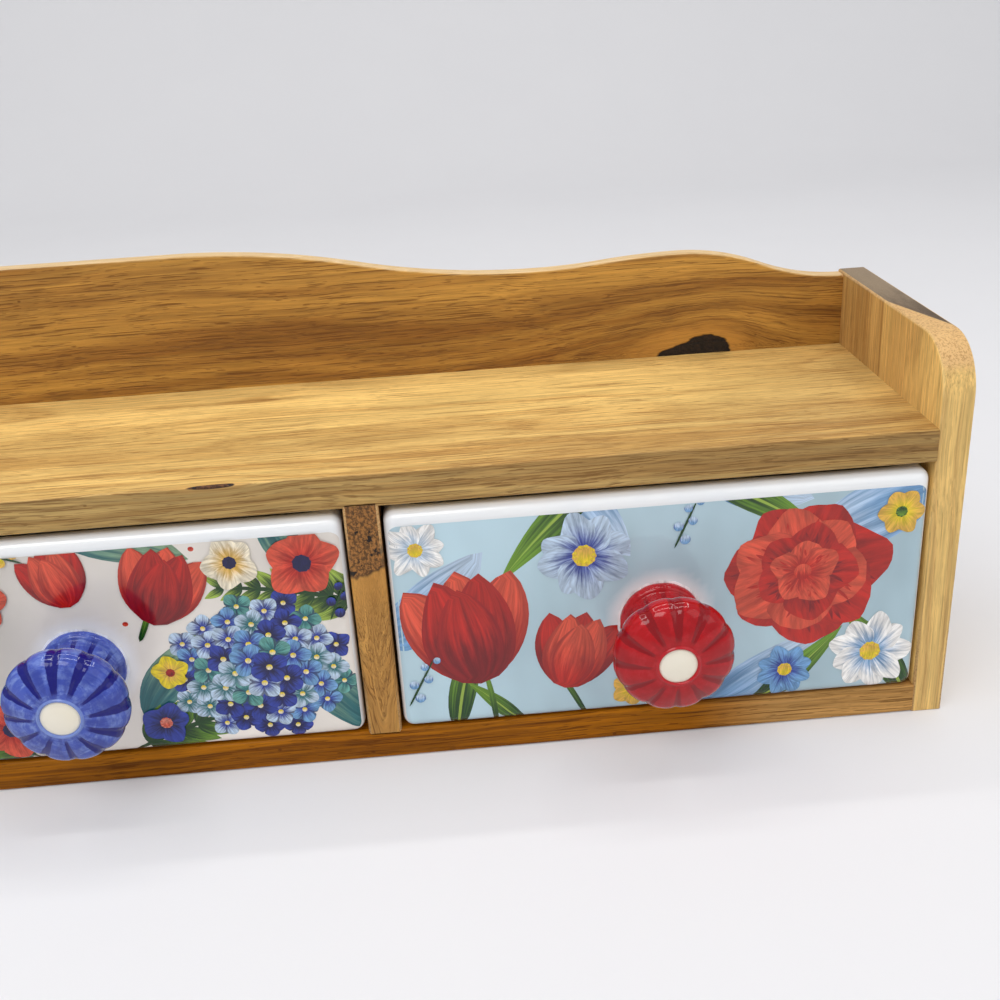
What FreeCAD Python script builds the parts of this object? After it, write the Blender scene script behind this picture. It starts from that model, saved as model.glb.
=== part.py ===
"""Tabletop spice cabinet: a wooden case with a shelf, a wavy back board and three ceramic drawers.

The origin is the centre of the case's footprint on the table. +X is to the right, +Y to the back
and +Z up, so the drawers pull out towards -Y. All sizes are in millimetres.
"""
import FreeCAD, Part
import math
import os
import re

import Sketcher
from FreeCAD import Placement, Rotation, Vector

# --------------------------------------------------------------------------------------------
# Driving dimensions: every one is a cell of the spreadsheet "sizes".
# --------------------------------------------------------------------------------------------
SIZES = {
    # the drawer bays and the boards round them
    "bay_width": 158.0,
    "bay_height": 74.5,
    "bay_depth": 85.0,
    "side_thickness": 9.5,
    "side_height": 118.5,
    "side_corner_radius": 16.0,
    "divider_thickness": 10.0,
    "base_thickness": 9.5,
    "shelf_thickness": 10.0,
    "back_thickness": 6.0,
    "board_arris": 0.6,
    # the wavy top edge of the back board: heights above the table, places along the edge
    "wave_end_height": 117.8,
    "wave_crest_height": 139.3,
    "wave_trough_height": 126.4,
    "wave_side_crest_height": 128.9,
    "wave_flat_length": 52.0,
    "wave_trough_inset": 105.0,
    "wave_side_crest_inset": 56.0,
    # the stopped housings that the boards are let into, and the brads behind
    "housing_depth": 3.0,
    "tongue_thickness": 5.0,
    "housing_stop": 10.0,
    "brad_width": 1.6,
    "brad_thickness": 1.2,
    "brad_length": 20.0,
    "brad_head_width": 3.0,
    "brad_head_thickness": 0.8,
    "brad_inset": 30.0,
    # ceramic drawers
    "drawer_side_gap": 0.75,
    "drawer_top_gap": 2.2,
    "drawer_back_gap": 0.6,
    "drawer_running_gap": 0.3,
    "drawer_proud": 0.5,
    "drawer_wall": 6.0,
    "drawer_front_wall": 6.5,
    "drawer_floor": 6.0,
    "drawer_corner_radius": 3.5,
    "drawer_back_arris": 1.5,
    "drawer_inner_radius": 6.0,
    "drawer_rim_arris": 0.8,
    # fluted knobs
    "knob_height": 31.2,
    "knob_projection": 27.0,
    "knob_radius": 17.3,
    "knob_rim_place": 19.7,
    "knob_shoulder_radius": 5.0,
    "knob_shoulder_turn": 60.0,
    "knob_face_radius": 18.5,
    "knob_waist_inset": 1.0,
    "knob_waist_place": 9.0,
    "flange_radius": 12.2,
    "flange_thickness": 3.2,
    "flange_nose_radius": 1.8,
    "button_radius": 5.4,
    "button_ring_width": 0.9,
    "button_ring_height": 0.5,
    "flute_count": 12,
    "flute_depth": 1.1,
    # the fittings that hold a knob on its drawer
    "screw_diameter": 4.0,
    "screw_length": 16.0,
    "screw_head_diameter": 8.0,
    "screw_head_height": 2.6,
    "screw_slot_width": 1.2,
    "screw_slot_depth": 1.3,
    "screw_hole_gap": 0.5,
    "washer_diameter": 12.0,
    "washer_thickness": 1.2,
    "nut_across": 7.0,
    "nut_length": 9.0,
    "nut_gap": 0.05,
    "nut_end_gap": 0.3,
    "thread_gap": 0.05,
}

DRAWER_PLACES = {"left": -1, "middle": 0, "right": 1}

doc = FreeCAD.newDocument("spice_cabinet")
sheet = doc.addObject("Spreadsheet::Sheet", "sizes")
for row, (alias, amount) in enumerate(SIZES.items(), start=1):
    sheet.set(f"A{row}", alias)
    sheet.set(f"B{row}", str(amount))
    sheet.setAlias(f"B{row}", alias)
doc.recompute()

ALIASES = re.compile(r"\b(" + "|".join(sorted(SIZES, key=len, reverse=True)) + r")\b")

# Places that several pieces share, as expressions of the driving dimensions.
INNER_WIDTH = "(3 * bay_width + 2 * divider_thickness)"
CASE_DEPTH = "(bay_depth + back_thickness)"
FRONT = f"(-{CASE_DEPTH} / 2)"
BACK_BOARD_FRONT = f"({FRONT} + bay_depth)"
SHELF_BOTTOM = "(base_thickness + bay_height)"
BAY_PITCH = "(bay_width + divider_thickness)"
DIVIDER_OFFSET = f"({BAY_PITCH} / 2)"
BRAD_ROW = f"({INNER_WIDTH} / 2 - brad_inset)"
BRAD_STEPS = (-3, -1, 1, 3)
SHELF_MIDDLE = f"({SHELF_BOTTOM} + shelf_thickness / 2)"
DRAWER_WIDTH = "(bay_width - 2 * drawer_side_gap)"
DRAWER_HEIGHT = "(bay_height - drawer_top_gap - drawer_running_gap)"
DRAWER_DEPTH = "(bay_depth + drawer_proud - drawer_back_gap)"


# --------------------------------------------------------------------------------------------
# Tools for binding objects to the spreadsheet
# --------------------------------------------------------------------------------------------
def linked(text):
    """The expression with each driving dimension named as a cell of the sheet."""
    return ALIASES.sub(r"sizes.\1", text)


def number(text):
    """The expression's present value."""
    result = sheet.evalExpression(linked(str(text)))
    return float(getattr(result, "Value", result))


def bind(thing, prop, text):
    thing.setExpression(prop, linked(str(text)))


def place(thing, x="0", y="0", z="0", turn=None):
    """Puts a sub-part at a bound place, turned by a rotation if one is given."""
    thing.Placement = Placement(Vector(0, 0, 0), turn or Rotation())
    bind(thing, "Placement.Base.x", x)
    bind(thing, "Placement.Base.y", y)
    bind(thing, "Placement.Base.z", z)


def new_body(label):
    body = doc.addObject("PartDesign::Body", label)
    body.Label = label
    return body


def origin_part(body, role):
    """One of the body's own origin planes or axes."""
    return [f for f in body.Origin.OriginFeatures if f.Role == role][0]


def new_sketch(body, name, role, offset="0"):
    """A sketch on one of the body's own origin planes, moved along the plane's normal."""
    sketch = body.newObject("Sketcher::SketchObject", name)
    sketch.AttachmentSupport = [(origin_part(body, role), "")]
    sketch.MapMode = "FlatFace"
    bind(sketch, "AttachmentOffset.Base.z", offset)
    return sketch


def fix_point(sketch, geometry, end, name, x, y):
    """Ties one point of the sketch to its bound place."""
    for kind, axis, text in (("DistanceX", "x", x), ("DistanceY", "y", y)):
        index = sketch.addConstraint(
            Sketcher.Constraint(kind, -1, 1, geometry, end, number(text))
        )
        sketch.renameConstraint(index, f"{name}_{axis}")
        bind(sketch, f"Constraints.{name}_{axis}", text)


def arc_between(start, finish, radius, turn):
    """The shorter arc of a radius between two points; turn is +1 for one that bends left."""
    chord = finish - start
    half = chord.Length / 2
    rise = math.sqrt(max(radius * radius - half * half, 0.0))
    normal = Vector(-chord.y, chord.x, 0).normalize()
    centre = (start + finish) / 2 + normal * (rise * turn)
    first, last = (start, finish) if turn > 0 else (finish, start)
    angles = [math.atan2((p - centre).y, (p - centre).x) for p in (first, last)]
    return Part.ArcOfCircle(Part.Circle(centre, Vector(0, 0, 1), radius), *angles)


def draw_outline(sketch, corners):
    """Draws a closed outline. Each corner is (x, y) for a straight side that leaves it, or
    (x, y, radius, turn) for an arc that leaves it, bending left for +1 and right for -1."""
    points = [Vector(number(c[0]), number(c[1]), 0) for c in corners]
    ends = []
    for index, corner in enumerate(corners):
        start = points[index]
        finish = points[(index + 1) % len(points)]
        if len(corner) == 2:
            side = sketch.addGeometry(Part.LineSegment(start, finish), False)
            ends.append((side, 1, 2))
            continue
        radius, turn = corner[2], corner[3]
        side = sketch.addGeometry(arc_between(start, finish, number(radius), turn), False)
        ends.append((side, 1, 2) if turn > 0 else (side, 2, 1))
        constraint = sketch.addConstraint(Sketcher.Constraint("Radius", side, number(radius)))
        sketch.renameConstraint(constraint, f"radius{index}")
        bind(sketch, f"Constraints.radius{index}", radius)
    for index, (side, first, _) in enumerate(ends):
        before, _, last = ends[index - 1]
        sketch.addConstraint(Sketcher.Constraint("Coincident", before, last, side, first))
        fix_point(sketch, side, first, f"corner{index}", corners[index][0], corners[index][1])


def draw_circles(sketch, centres, diameter):
    for index, (x, y) in enumerate(centres):
        centre = Vector(number(x), number(y), 0)
        circle = Part.Circle(centre, Vector(0, 0, 1), number(diameter) / 2)
        ring = sketch.addGeometry(circle, False)
        fix_point(sketch, ring, 3, f"centre{index}", x, y)
        constraint = sketch.addConstraint(
            Sketcher.Constraint("Diameter", ring, number(diameter))
        )
        sketch.renameConstraint(constraint, f"diameter{index}")
        bind(sketch, f"Constraints.diameter{index}", diameter)


def rectangle(left, bottom, right, top):
    return [(left, bottom), (right, bottom), (right, top), (left, top)]


def hexagon(across):
    """Corners of a hexagon about the origin, given its size across the flats."""
    reach = f"({across}) / (2 * cos(30 deg))"
    return [(f"{reach} * cos({turn} deg)", f"{reach} * sin({turn} deg)") for turn in range(0, 360, 60)]


def rounded_rectangle(left, bottom, right, top, radius):
    """Corners of a rounded rectangle, anticlockwise from its lower left."""
    return [
        (f"{left} + {radius}", bottom),
        (f"{right} - {radius}", bottom, radius, 1),
        (right, f"{bottom} + {radius}"),
        (right, f"{top} - {radius}", radius, 1),
        (f"{right} - {radius}", top),
        (f"{left} + {radius}", top, radius, 1),
        (left, f"{top} - {radius}"),
        (left, f"{bottom} + {radius}", radius, 1),
    ]


def pad(body, sketch, length, backwards=False):
    feature = body.newObject("PartDesign::Pad", f"{sketch.Name}_pad")
    feature.Profile = sketch
    feature.Reversed = backwards
    bind(feature, "Length", length)
    doc.recompute()
    return feature


def pocket(body, sketch, depth, backwards=False):
    """Cuts a pocket and makes sure that it takes material away."""
    before = body.Shape.Volume
    feature = body.newObject("PartDesign::Pocket", f"{sketch.Name}_pocket")
    feature.Profile = sketch
    feature.Reversed = backwards
    bind(feature, "Length", depth)
    doc.recompute()
    if not 0 < body.Shape.Volume < before - 1e-3:
        raise ValueError(f"{feature.Name} fails to cut")
    return feature


def drill(body, name, role, offset, centres, diameter, depth, backwards=False):
    sketch = new_sketch(body, name, role, offset)
    draw_circles(sketch, centres, diameter)
    return pocket(body, sketch, depth, backwards)


def dress(body, kind, name, amount, wanted):
    """Rounds or chamfers the edges of the body's tip that the test wanted(edge) picks."""
    base = body.Tip
    names = [
        f"Edge{i}" for i, edge in enumerate(base.Shape.Edges, start=1) if wanted(edge)
    ]
    if not names:
        raise ValueError(f"{name} finds no edges")
    feature = body.newObject(kind, name)
    feature.Base = (base, names)
    bind(feature, "Radius" if kind.endswith("Fillet") else "Size", amount)
    doc.recompute()
    return feature


def all_at(edge, axis, amount, slack=1e-3):
    """True when the whole edge lies in the plane where that coordinate has that amount."""
    box = edge.BoundBox
    low, high = getattr(box, f"{axis}Min"), getattr(box, f"{axis}Max")
    return abs(low - amount) < slack and abs(high - amount) < slack


# --------------------------------------------------------------------------------------------
# The wooden case
# --------------------------------------------------------------------------------------------
def make_side_panel(label, side):
    """A side panel, side being -1 for the left one. It stands with its outer face at the case's
    end. Its front top corner is a quarter round, and its inner face has a housing for the base
    board and one for the shelf."""
    body = new_body(label)
    outline = new_sketch(body, f"{label}_outline", "YZ_Plane")
    draw_outline(
        outline,
        [
            ("0", "0"),
            (CASE_DEPTH, "0"),
            (CASE_DEPTH, "side_height"),
            ("side_corner_radius", "side_height", "side_corner_radius", 1),
            ("0", "side_height - side_corner_radius"),
        ],
    )
    pad(body, outline, "side_thickness")
    inner_face = "side_thickness" if side < 0 else "0"
    for board, middle in (("base", "base_thickness / 2"), ("shelf", SHELF_MIDDLE)):
        housing = new_sketch(body, f"{label}_{board}_housing", "YZ_Plane", inner_face)
        low, high = (f"{middle} {sign} tongue_thickness / 2" for sign in "-+")
        draw_outline(housing, rectangle("housing_stop", low, "bay_depth", high))
        pocket(body, housing, "housing_depth", side > 0)
    case_depth = number(CASE_DEPTH)
    thickness = number("side_thickness")

    def open_edge(edge):
        box = edge.BoundBox
        on_face = all_at(edge, "X", 0) or all_at(edge, "X", thickness)
        at_front = box.YMin < number("side_corner_radius") - 1e-3 and box.YMax < case_depth - 1
        on_top = all_at(edge, "Z", number("side_height"))
        in_housing = box.YMin > 1 and not on_top
        return on_face and (at_front or on_top) and not in_housing and box.ZMax > 1

    dress(body, "PartDesign::Chamfer", f"{label}_arris", "board_arris", open_edge)
    left_end = f"-{INNER_WIDTH} / 2 - side_thickness"
    place(body, left_end if side < 0 else f"{INNER_WIDTH} / 2", FRONT, "0")
    return body


def make_level_board(label, thickness, height, divider_side):
    """The shelf or the base board. A tongue on each end is let into the side panel.
    divider_side says whether the dividers meet the board from above (+1) or below (-1)."""
    body = new_body(label)
    half = f"({INNER_WIDTH} / 2)"
    outline = new_sketch(body, f"{label}_outline", "XY_Plane")
    draw_outline(outline, rectangle(f"-{half}", "0", half, "bay_depth"))
    pad(body, outline, thickness)

    tongue_foot = f"({thickness} - tongue_thickness) / 2"
    tongue_end = f"({half} + housing_depth)"
    for side, left, right in (("left", f"-{tongue_end}", f"-{half}"), ("right", half, tongue_end)):
        tongue = new_sketch(body, f"{label}_{side}_tongue", "XY_Plane", tongue_foot)
        draw_outline(tongue, rectangle(left, "housing_stop", right, "bay_depth"))
        pad(body, tongue, "tongue_thickness")

    face = thickness if divider_side > 0 else "0"
    for side in (-1, 1):
        name = f"{label}_housing{'_right' if side > 0 else '_left'}"
        housing = new_sketch(body, name, "XY_Plane", face)
        left = f"{side} * {DIVIDER_OFFSET} - divider_thickness / 2"
        right = f"{side} * {DIVIDER_OFFSET} + divider_thickness / 2"
        draw_outline(housing, rectangle(left, "housing_stop", right, "bay_depth"))
        pocket(body, housing, "housing_depth", divider_side < 0)

    for index, step in enumerate(BRAD_STEPS):
        hole = new_sketch(body, f"{label}_brad_hole{index}", "XZ_Plane", "-bay_depth")
        draw_outline(hole, brad_section(step, f"{thickness} / 2", "brad_width"))
        pocket(body, hole, "brad_length - back_thickness", True)

    def front_edge(edge):
        return all_at(edge, "Y", 0) and edge.Length > number(half)

    dress(body, "PartDesign::Chamfer", f"{label}_arris", "board_arris", front_edge)
    place(body, "0", FRONT, height)
    return body


def make_divider(label, side):
    """An upright board between two drawer bays, let into the base board and the shelf."""
    body = new_body(label)
    outline = new_sketch(body, f"{label}_outline", "YZ_Plane", "-divider_thickness / 2")
    draw_outline(
        outline,
        [
            ("0", "0"),
            ("housing_stop", "0"),
            ("housing_stop", "-housing_depth"),
            ("bay_depth", "-housing_depth"),
            ("bay_depth", "bay_height + housing_depth"),
            ("housing_stop", "bay_height + housing_depth"),
            ("housing_stop", "bay_height"),
            ("0", "bay_height"),
        ],
    )
    pad(body, outline, "divider_thickness")

    def front_edge(edge):
        return all_at(edge, "Y", 0) and edge.BoundBox.ZLength > number("bay_height") / 2

    dress(body, "PartDesign::Chamfer", f"{label}_arris", "board_arris", front_edge)
    place(body, f"{side} * {DIVIDER_OFFSET}", FRONT, "base_thickness")
    return body


def brad_section(step, height, width):
    """The outline of a brad, or of its head, seen from behind."""
    middle = f"{step} * {BRAD_ROW} / 3"
    return rectangle(
        f"{middle} - {width} / 2",
        f"{height} - brad_thickness / 2",
        f"{middle} + {width} / 2",
        f"{height} + brad_thickness / 2",
    )


def ogee(x0, z0, x1, z1, turn):
    """Two equal arcs from one level tangent to another: the first bends to turn, the second
    the other way, and they meet halfway."""
    radius = f"((({x1}) - ({x0}))^2 + (({z1}) - ({z0}))^2) / (4 * abs(({z1}) - ({z0})))"
    middle = (f"(({x0}) + ({x1})) / 2", f"(({z0}) + ({z1})) / 2")
    return [(x0, z0, radius, turn), (*middle, radius, -turn)]


def make_back_board(label):
    """The back board between the side panels. Its top edge is flat in the middle and goes
    through a trough and a low side crest to the panels, all in ogees. One half is drawn, then
    mirrored."""
    body = new_body(label)
    half = f"({INNER_WIDTH} / 2)"
    crest_end = "wave_flat_length / 2"
    trough = f"{half} - wave_trough_inset"
    side_crest = f"{half} - wave_side_crest_inset"
    outline = new_sketch(body, f"{label}_half_outline", "XZ_Plane")
    corners = [("0", "0"), (half, "0")]
    corners += ogee(half, "wave_end_height", side_crest, "wave_side_crest_height", -1)
    corners += ogee(side_crest, "wave_side_crest_height", trough, "wave_trough_height", 1)
    corners += ogee(trough, "wave_trough_height", crest_end, "wave_crest_height", -1)
    corners += [(crest_end, "wave_crest_height"), ("0", "wave_crest_height")]
    draw_outline(outline, corners)
    pad(body, outline, "back_thickness", True)

    def front_top_edge(edge):
        return all_at(edge, "Y", 0) and edge.BoundBox.ZMin > number("wave_end_height") - 1

    dress(body, "PartDesign::Chamfer", f"{label}_arris", "board_arris", front_top_edge)
    for row, height in (("base", "base_thickness / 2"), ("shelf", SHELF_MIDDLE)):
        for step in (s for s in BRAD_STEPS if s > 0):
            name = f"{label}_{row}{step}"
            shank = new_sketch(body, f"{name}_shank", "XZ_Plane")
            draw_outline(shank, brad_section(step, height, "brad_width"))
            pocket(body, shank, "back_thickness")
            head = new_sketch(body, f"{name}_head", "XZ_Plane", "-back_thickness")
            draw_outline(head, brad_section(step, height, "brad_head_width"))
            pocket(body, head, "brad_head_thickness", True)
    mirror = body.newObject("PartDesign::Mirrored", f"{label}_mirror")
    mirror.TransformMode = "Whole shape"
    mirror.MirrorPlane = (origin_part(body, "YZ_Plane"), [""])
    body.Tip = mirror
    doc.recompute()
    place(body, "0", BACK_BOARD_FRONT, "0")
    return body


# --------------------------------------------------------------------------------------------
# Brads
# --------------------------------------------------------------------------------------------
def make_block(name, sizes, corner):
    block = doc.addObject("Part::Box", name)
    for prop, size in zip(("Length", "Width", "Height"), sizes):
        bind(block, prop, size)
    place(block, *corner)
    return block


def make_back_brads(label):
    """Eight brads driven from behind through the back board into the base and the shelf."""
    back = f"{CASE_DEPTH} / 2"
    brads = []
    for row, height in (("base", "base_thickness / 2"), ("shelf", SHELF_MIDDLE)):
        for index, step in enumerate(BRAD_STEPS):
            name = f"{label}_{row}{index}"
            low = f"{height} - brad_thickness / 2"
            pieces = []
            for kind, width, length in (
                ("shank", "brad_width", "brad_length"),
                ("head", "brad_head_width", "brad_head_thickness"),
            ):
                sizes = (width, length, "brad_thickness")
                corner = (f"{step} * {BRAD_ROW} / 3 - {width} / 2", f"{back} - {length}", low)
                pieces.append(make_block(f"{name}_{kind}", sizes, corner))
            brad = doc.addObject("Part::Fuse", name)
            brad.Base, brad.Tool = pieces
            brad.Refine = True
            brads.append(brad)
    group = doc.addObject("Part::Compound", label)
    group.Label = label
    group.Links = brads
    return group


# --------------------------------------------------------------------------------------------
# Ceramic drawers
# --------------------------------------------------------------------------------------------
def bay_centre(position):
    return f"{DRAWER_PLACES[position]} * {BAY_PITCH}"


DRAWER_FACE = f"({FRONT} - drawer_proud)"
DRAWER_FOOT = "(base_thickness + drawer_running_gap)"
KNOB_AXIS = f"({DRAWER_FOOT} + knob_height)"


def make_drawer(label, position):
    """A slip-cast box, open at the top, with soft corners outside, coves inside and a hole in
    the face for the knob's screw."""
    body = new_body(label)
    half = f"({DRAWER_WIDTH} / 2)"
    face = new_sketch(body, f"{label}_face", "XZ_Plane")
    corners = (f"-{half}", "0", half, DRAWER_HEIGHT, "drawer_corner_radius")
    draw_outline(face, rounded_rectangle(*corners))
    pad(body, face, DRAWER_DEPTH, True)

    depth = number(DRAWER_DEPTH)
    height = number(DRAWER_HEIGHT)
    round_face = "drawer_corner_radius"
    dress(body, "PartDesign::Fillet", f"{label}_ends", round_face, lambda e: all_at(e, "Y", 0))
    back_arris = "drawer_back_arris"
    dress(body, "PartDesign::Chamfer", f"{label}_rear", back_arris, lambda e: all_at(e, "Y", depth))

    hollow = new_sketch(body, f"{label}_hollow", "XY_Plane", DRAWER_HEIGHT)
    inner = f"({half} - drawer_wall)"
    back = f"({DRAWER_DEPTH} - drawer_wall)"
    corners = (f"-{inner}", "drawer_front_wall", inner, back, "drawer_inner_radius")
    draw_outline(hollow, rounded_rectangle(*corners))
    pocket(body, hollow, f"{DRAWER_HEIGHT} - drawer_floor")
    inner_x = number(inner)
    inner_back = number(back)

    def inside(edge):
        box = edge.BoundBox
        along = box.YMin > number("drawer_front_wall") - 0.01 and box.YMax < inner_back + 0.01
        return along and box.XMin > -inner_x - 0.01 and box.XMax < inner_x + 0.01

    def floor_edge(edge):
        return inside(edge) and all_at(edge, "Z", number("drawer_floor"))

    def rim_edge(edge):
        return inside(edge) and all_at(edge, "Z", height)

    dress(body, "PartDesign::Fillet", f"{label}_cove", "drawer_inner_radius", floor_edge)
    dress(body, "PartDesign::Chamfer", f"{label}_rim", "drawer_rim_arris", rim_edge)
    screw_hole = "screw_diameter + 2 * screw_hole_gap"
    name = f"{label}_screw_hole"
    drill(body, name, "XZ_Plane", "0", [("0", "knob_height")], screw_hole, "drawer_front_wall")
    place(body, bay_centre(position), DRAWER_FACE, DRAWER_FOOT)
    return body


# --------------------------------------------------------------------------------------------
# Knobs and their fittings. Each is drawn on its own Z axis, which then points out of the
# drawer's face.
# --------------------------------------------------------------------------------------------
OUT_OF_FACE = Rotation(Vector(1, 0, 0), 90)


def turned(body, name, corners):
    """A solid of revolution about the body's Z axis. Corners are (radius, height)."""
    profile = new_sketch(body, name, "XZ_Plane")
    draw_outline(profile, corners)
    feature = body.newObject("PartDesign::Revolution", f"{name}_turned")
    feature.Profile = profile
    feature.ReferenceAxis = (profile, ["V_Axis"])
    feature.Angle = 360.0
    doc.recompute()
    return feature


LOBE_POINTS = ((0.0, 1.0), (0.25, 0.3), (0.5, 0.0), (0.75, 0.3))


def lobed_section(radius, height):
    """The corners of an outline of flute_count lobes. LOBE_POINTS gives, for each of a lobe's
    corners, its place across the lobe and its share of the flute's depth, which keeps the same
    proportion to the radius everywhere, so that the sections are scaled copies."""
    count = int(number("flute_count"))
    depth = number("flute_depth / knob_radius") * radius
    corners = []
    for lobe in range(count):
        for across, share in LOBE_POINTS:
            angle = 2 * math.pi * (lobe + across) / count
            reach = radius - depth * share
            corners.append(Vector(reach * math.cos(angle), reach * math.sin(angle), height))
    return corners


def flat_face(corners):
    return Part.Face(Part.makePolygon(corners + corners[:1]))


def fluted_solid(stations):
    """A solid through lobed sections. Its sides are flat, because the sections are scaled
    copies of each other."""
    sections = [lobed_section(*station) for station in stations]
    faces = [flat_face(sections[0]), flat_face(sections[-1])]
    for lower, upper in zip(sections, sections[1:]):
        for k in range(len(lower)):
            faces.append(flat_face([lower[k - 1], lower[k], upper[k], upper[k - 1]]))
    return Part.makeSolid(Part.makeShell(faces))


def arc_stations(centre, radius, first, last, steps):
    """Points along an arc of the knob's side view, as (radius, height), without its first."""
    angles = [math.radians(first + (last - first) * k / steps) for k in range(1, steps + 1)]
    return [
        (centre[0] + radius * math.cos(a), centre[1] + radius * math.sin(a)) for a in angles
    ]


def knob_stations():
    """The knob's side view from its back to the ring round the button, as (radius, height)."""
    flange, nose = number("flange_radius"), number("flange_nose_radius")
    nose_start = number("flange_thickness") - nose
    stations = [(flange, 0.0), (flange, nose_start)]
    stations += arc_stations((flange - nose, nose_start), nose, 0, 90, 2)

    # The waist, then an S-bend of two equal arcs that carries it out to the rim.
    waist = number("flange_radius - flange_nose_radius - knob_waist_inset")
    waist_place = number("knob_waist_place")
    rim, rim_place = number("knob_radius"), number("knob_rim_place")
    flare, rise = rim - waist, rim_place - waist_place
    bend = (flare**2 + rise**2) / (4 * flare)
    swing = math.degrees(math.asin(rise / (2 * bend)))
    stations.append((waist, waist_place))
    stations += arc_stations((waist + bend, waist_place), bend, 180, 180 - swing, 2)
    stations += arc_stations((rim - bend, rim_place), bend, -swing, 0, 3)

    # A tight shoulder turns from the rim to the face, which is a flatter arc up to the ring.
    shoulder, turn = number("knob_shoulder_radius"), number("knob_shoulder_turn")
    stations += arc_stations((rim - shoulder, rim_place), shoulder, 0, turn, 3)
    ring = number("button_radius + button_ring_width")
    ring_place = number("knob_projection - button_ring_height")
    ends = (Vector(*stations[-1], 0), Vector(ring, ring_place, 0))
    face = arc_between(*ends, number("knob_face_radius"), 1)
    sweep = (math.degrees(face.FirstParameter), math.degrees(face.LastParameter))
    stations += arc_stations((face.Center.x, face.Center.y), face.Radius, *sweep, 3)
    return stations


def make_knob(label, position):
    """A fluted knob: a foot flange, a waist and a dome, all of lobes; then a raised ring with a
    button inside it is turned on the face, and the back takes the captive nut."""
    blank = doc.addObject("Part::Feature", f"{label}_blank")
    blank.Shape = fluted_solid(knob_stations())
    body = new_body(label)
    body.BaseFeature = blank
    doc.recompute()

    ring = "(button_radius + button_ring_width)"
    face = "(knob_projection - button_ring_height)"
    sunk = f"({face} - button_ring_height)"
    crest = "(button_radius + button_ring_width / 2)"
    profile = [
        ("0", sunk),
        (ring, sunk),
        (ring, face),
        (crest, "knob_projection"),
        ("button_radius", face),
        ("0", "knob_projection"),
    ]
    turned(body, f"{label}_button", profile)
    nest = new_sketch(body, f"{label}_nest", "XY_Plane")
    draw_outline(nest, hexagon("nut_across + 2 * nut_gap"))
    pocket(body, nest, "nut_length + nut_end_gap", True)
    place(body, bay_centre(position), DRAWER_FACE, KNOB_AXIS, OUT_OF_FACE)
    return body


def make_nut(label, position):
    """The long brass nut held captive in the knob, flush with the knob's back."""
    body = new_body(label)
    outline = new_sketch(body, f"{label}_outline", "XY_Plane")
    draw_outline(outline, hexagon("nut_across"))
    pad(body, outline, "nut_length")
    bore = "screw_diameter + 2 * thread_gap"
    drill(body, f"{label}_bore", "XY_Plane", "0", [("0", "0")], bore, "nut_length", True)
    place(body, bay_centre(position), DRAWER_FACE, KNOB_AXIS, OUT_OF_FACE)
    return body


WASHER_SEAT = f"({DRAWER_FACE} + drawer_front_wall)"
HEAD_SEAT = f"({WASHER_SEAT} + washer_thickness)"


def make_washer(label, position):
    body = new_body(label)
    hole = "(screw_diameter / 2 + thread_gap)"
    washer = rectangle(hole, "0", "washer_diameter / 2", "washer_thickness")
    turned(body, f"{label}_profile", washer)
    place(body, bay_centre(position), HEAD_SEAT, KNOB_AXIS, OUT_OF_FACE)
    return body


def make_screw(label, position):
    """A machine screw whose bevelled head has a cross recess. Its head lies below its own zero
    plane, its shank above."""
    body = new_body(label)
    head = "screw_head_diameter / 2"
    edge = "screw_head_height / 3"
    profile = [
        ("0", "-screw_head_height"),
        (f"{head} - {edge}", "-screw_head_height"),
        (head, f"{edge} - screw_head_height"),
        (head, "0"),
        ("screw_diameter / 2", "0"),
        ("screw_diameter / 2", "screw_length"),
        ("0", "screw_length"),
    ]
    turned(body, f"{label}_profile", profile)
    arm = "screw_head_diameter / 4"
    slot = "screw_slot_width / 2"
    cross = new_sketch(body, f"{label}_cross", "XY_Plane", "-screw_head_height")
    corners = [
        (arm, slot), (slot, slot), (slot, arm), (f"-{slot}", arm), (f"-{slot}", slot),
        (f"-{arm}", slot), (f"-{arm}", f"-{slot}"), (f"-{slot}", f"-{slot}"),
        (f"-{slot}", f"-{arm}"), (slot, f"-{arm}"), (slot, f"-{slot}"), (arm, f"-{slot}"),
    ]
    draw_outline(cross, corners)
    pocket(body, cross, "screw_slot_depth", True)
    place(body, bay_centre(position), HEAD_SEAT, KNOB_AXIS, OUT_OF_FACE)
    return body


# --------------------------------------------------------------------------------------------
# The whole cabinet
# --------------------------------------------------------------------------------------------
parts = [
    make_side_panel("left_side_panel", -1),
    make_side_panel("right_side_panel", 1),
    make_level_board("base_board", "base_thickness", "0", 1),
    make_level_board("top_shelf", "shelf_thickness", SHELF_BOTTOM, -1),
    make_divider("left_divider", -1),
    make_divider("right_divider", 1),
    make_back_board("back_board"),
    make_back_brads("back_brads"),
]
for position in DRAWER_PLACES:
    parts.append(make_drawer(f"drawer_{position}", position))
    parts.append(make_knob(f"knob_{position}", position))
    parts.append(make_nut(f"knob_nut_{position}", position))
    parts.append(make_washer(f"knob_washer_{position}", position))
    parts.append(make_screw(f"knob_screw_{position}", position))
doc.recompute()

# Nothing is written unless every object of the document is sound.
for thing in doc.Objects:
    if "Invalid" in thing.State or "Error" in thing.State:
        raise ValueError(f"{thing.Name} failed: {thing.State}")
for part in parts:
    if part.Shape.isNull() or not part.Shape.isValid() or not part.Shape.Solids:
        raise ValueError(f"{part.Label} has no sound shape")

os.makedirs("parts", exist_ok=True)
for part in parts:
    part.Shape.exportStep(os.path.join("parts", f"{part.Label}.step"))
    box = part.Shape.BoundBox
    low = f"({box.XMin:.1f}, {box.YMin:.1f}, {box.ZMin:.1f})"
    high = f"({box.XMax:.1f}, {box.YMax:.1f}, {box.ZMax:.1f})"
    print(f"{part.Label}: {len(part.Shape.Solids)} solids, {low} to {high}")
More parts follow.
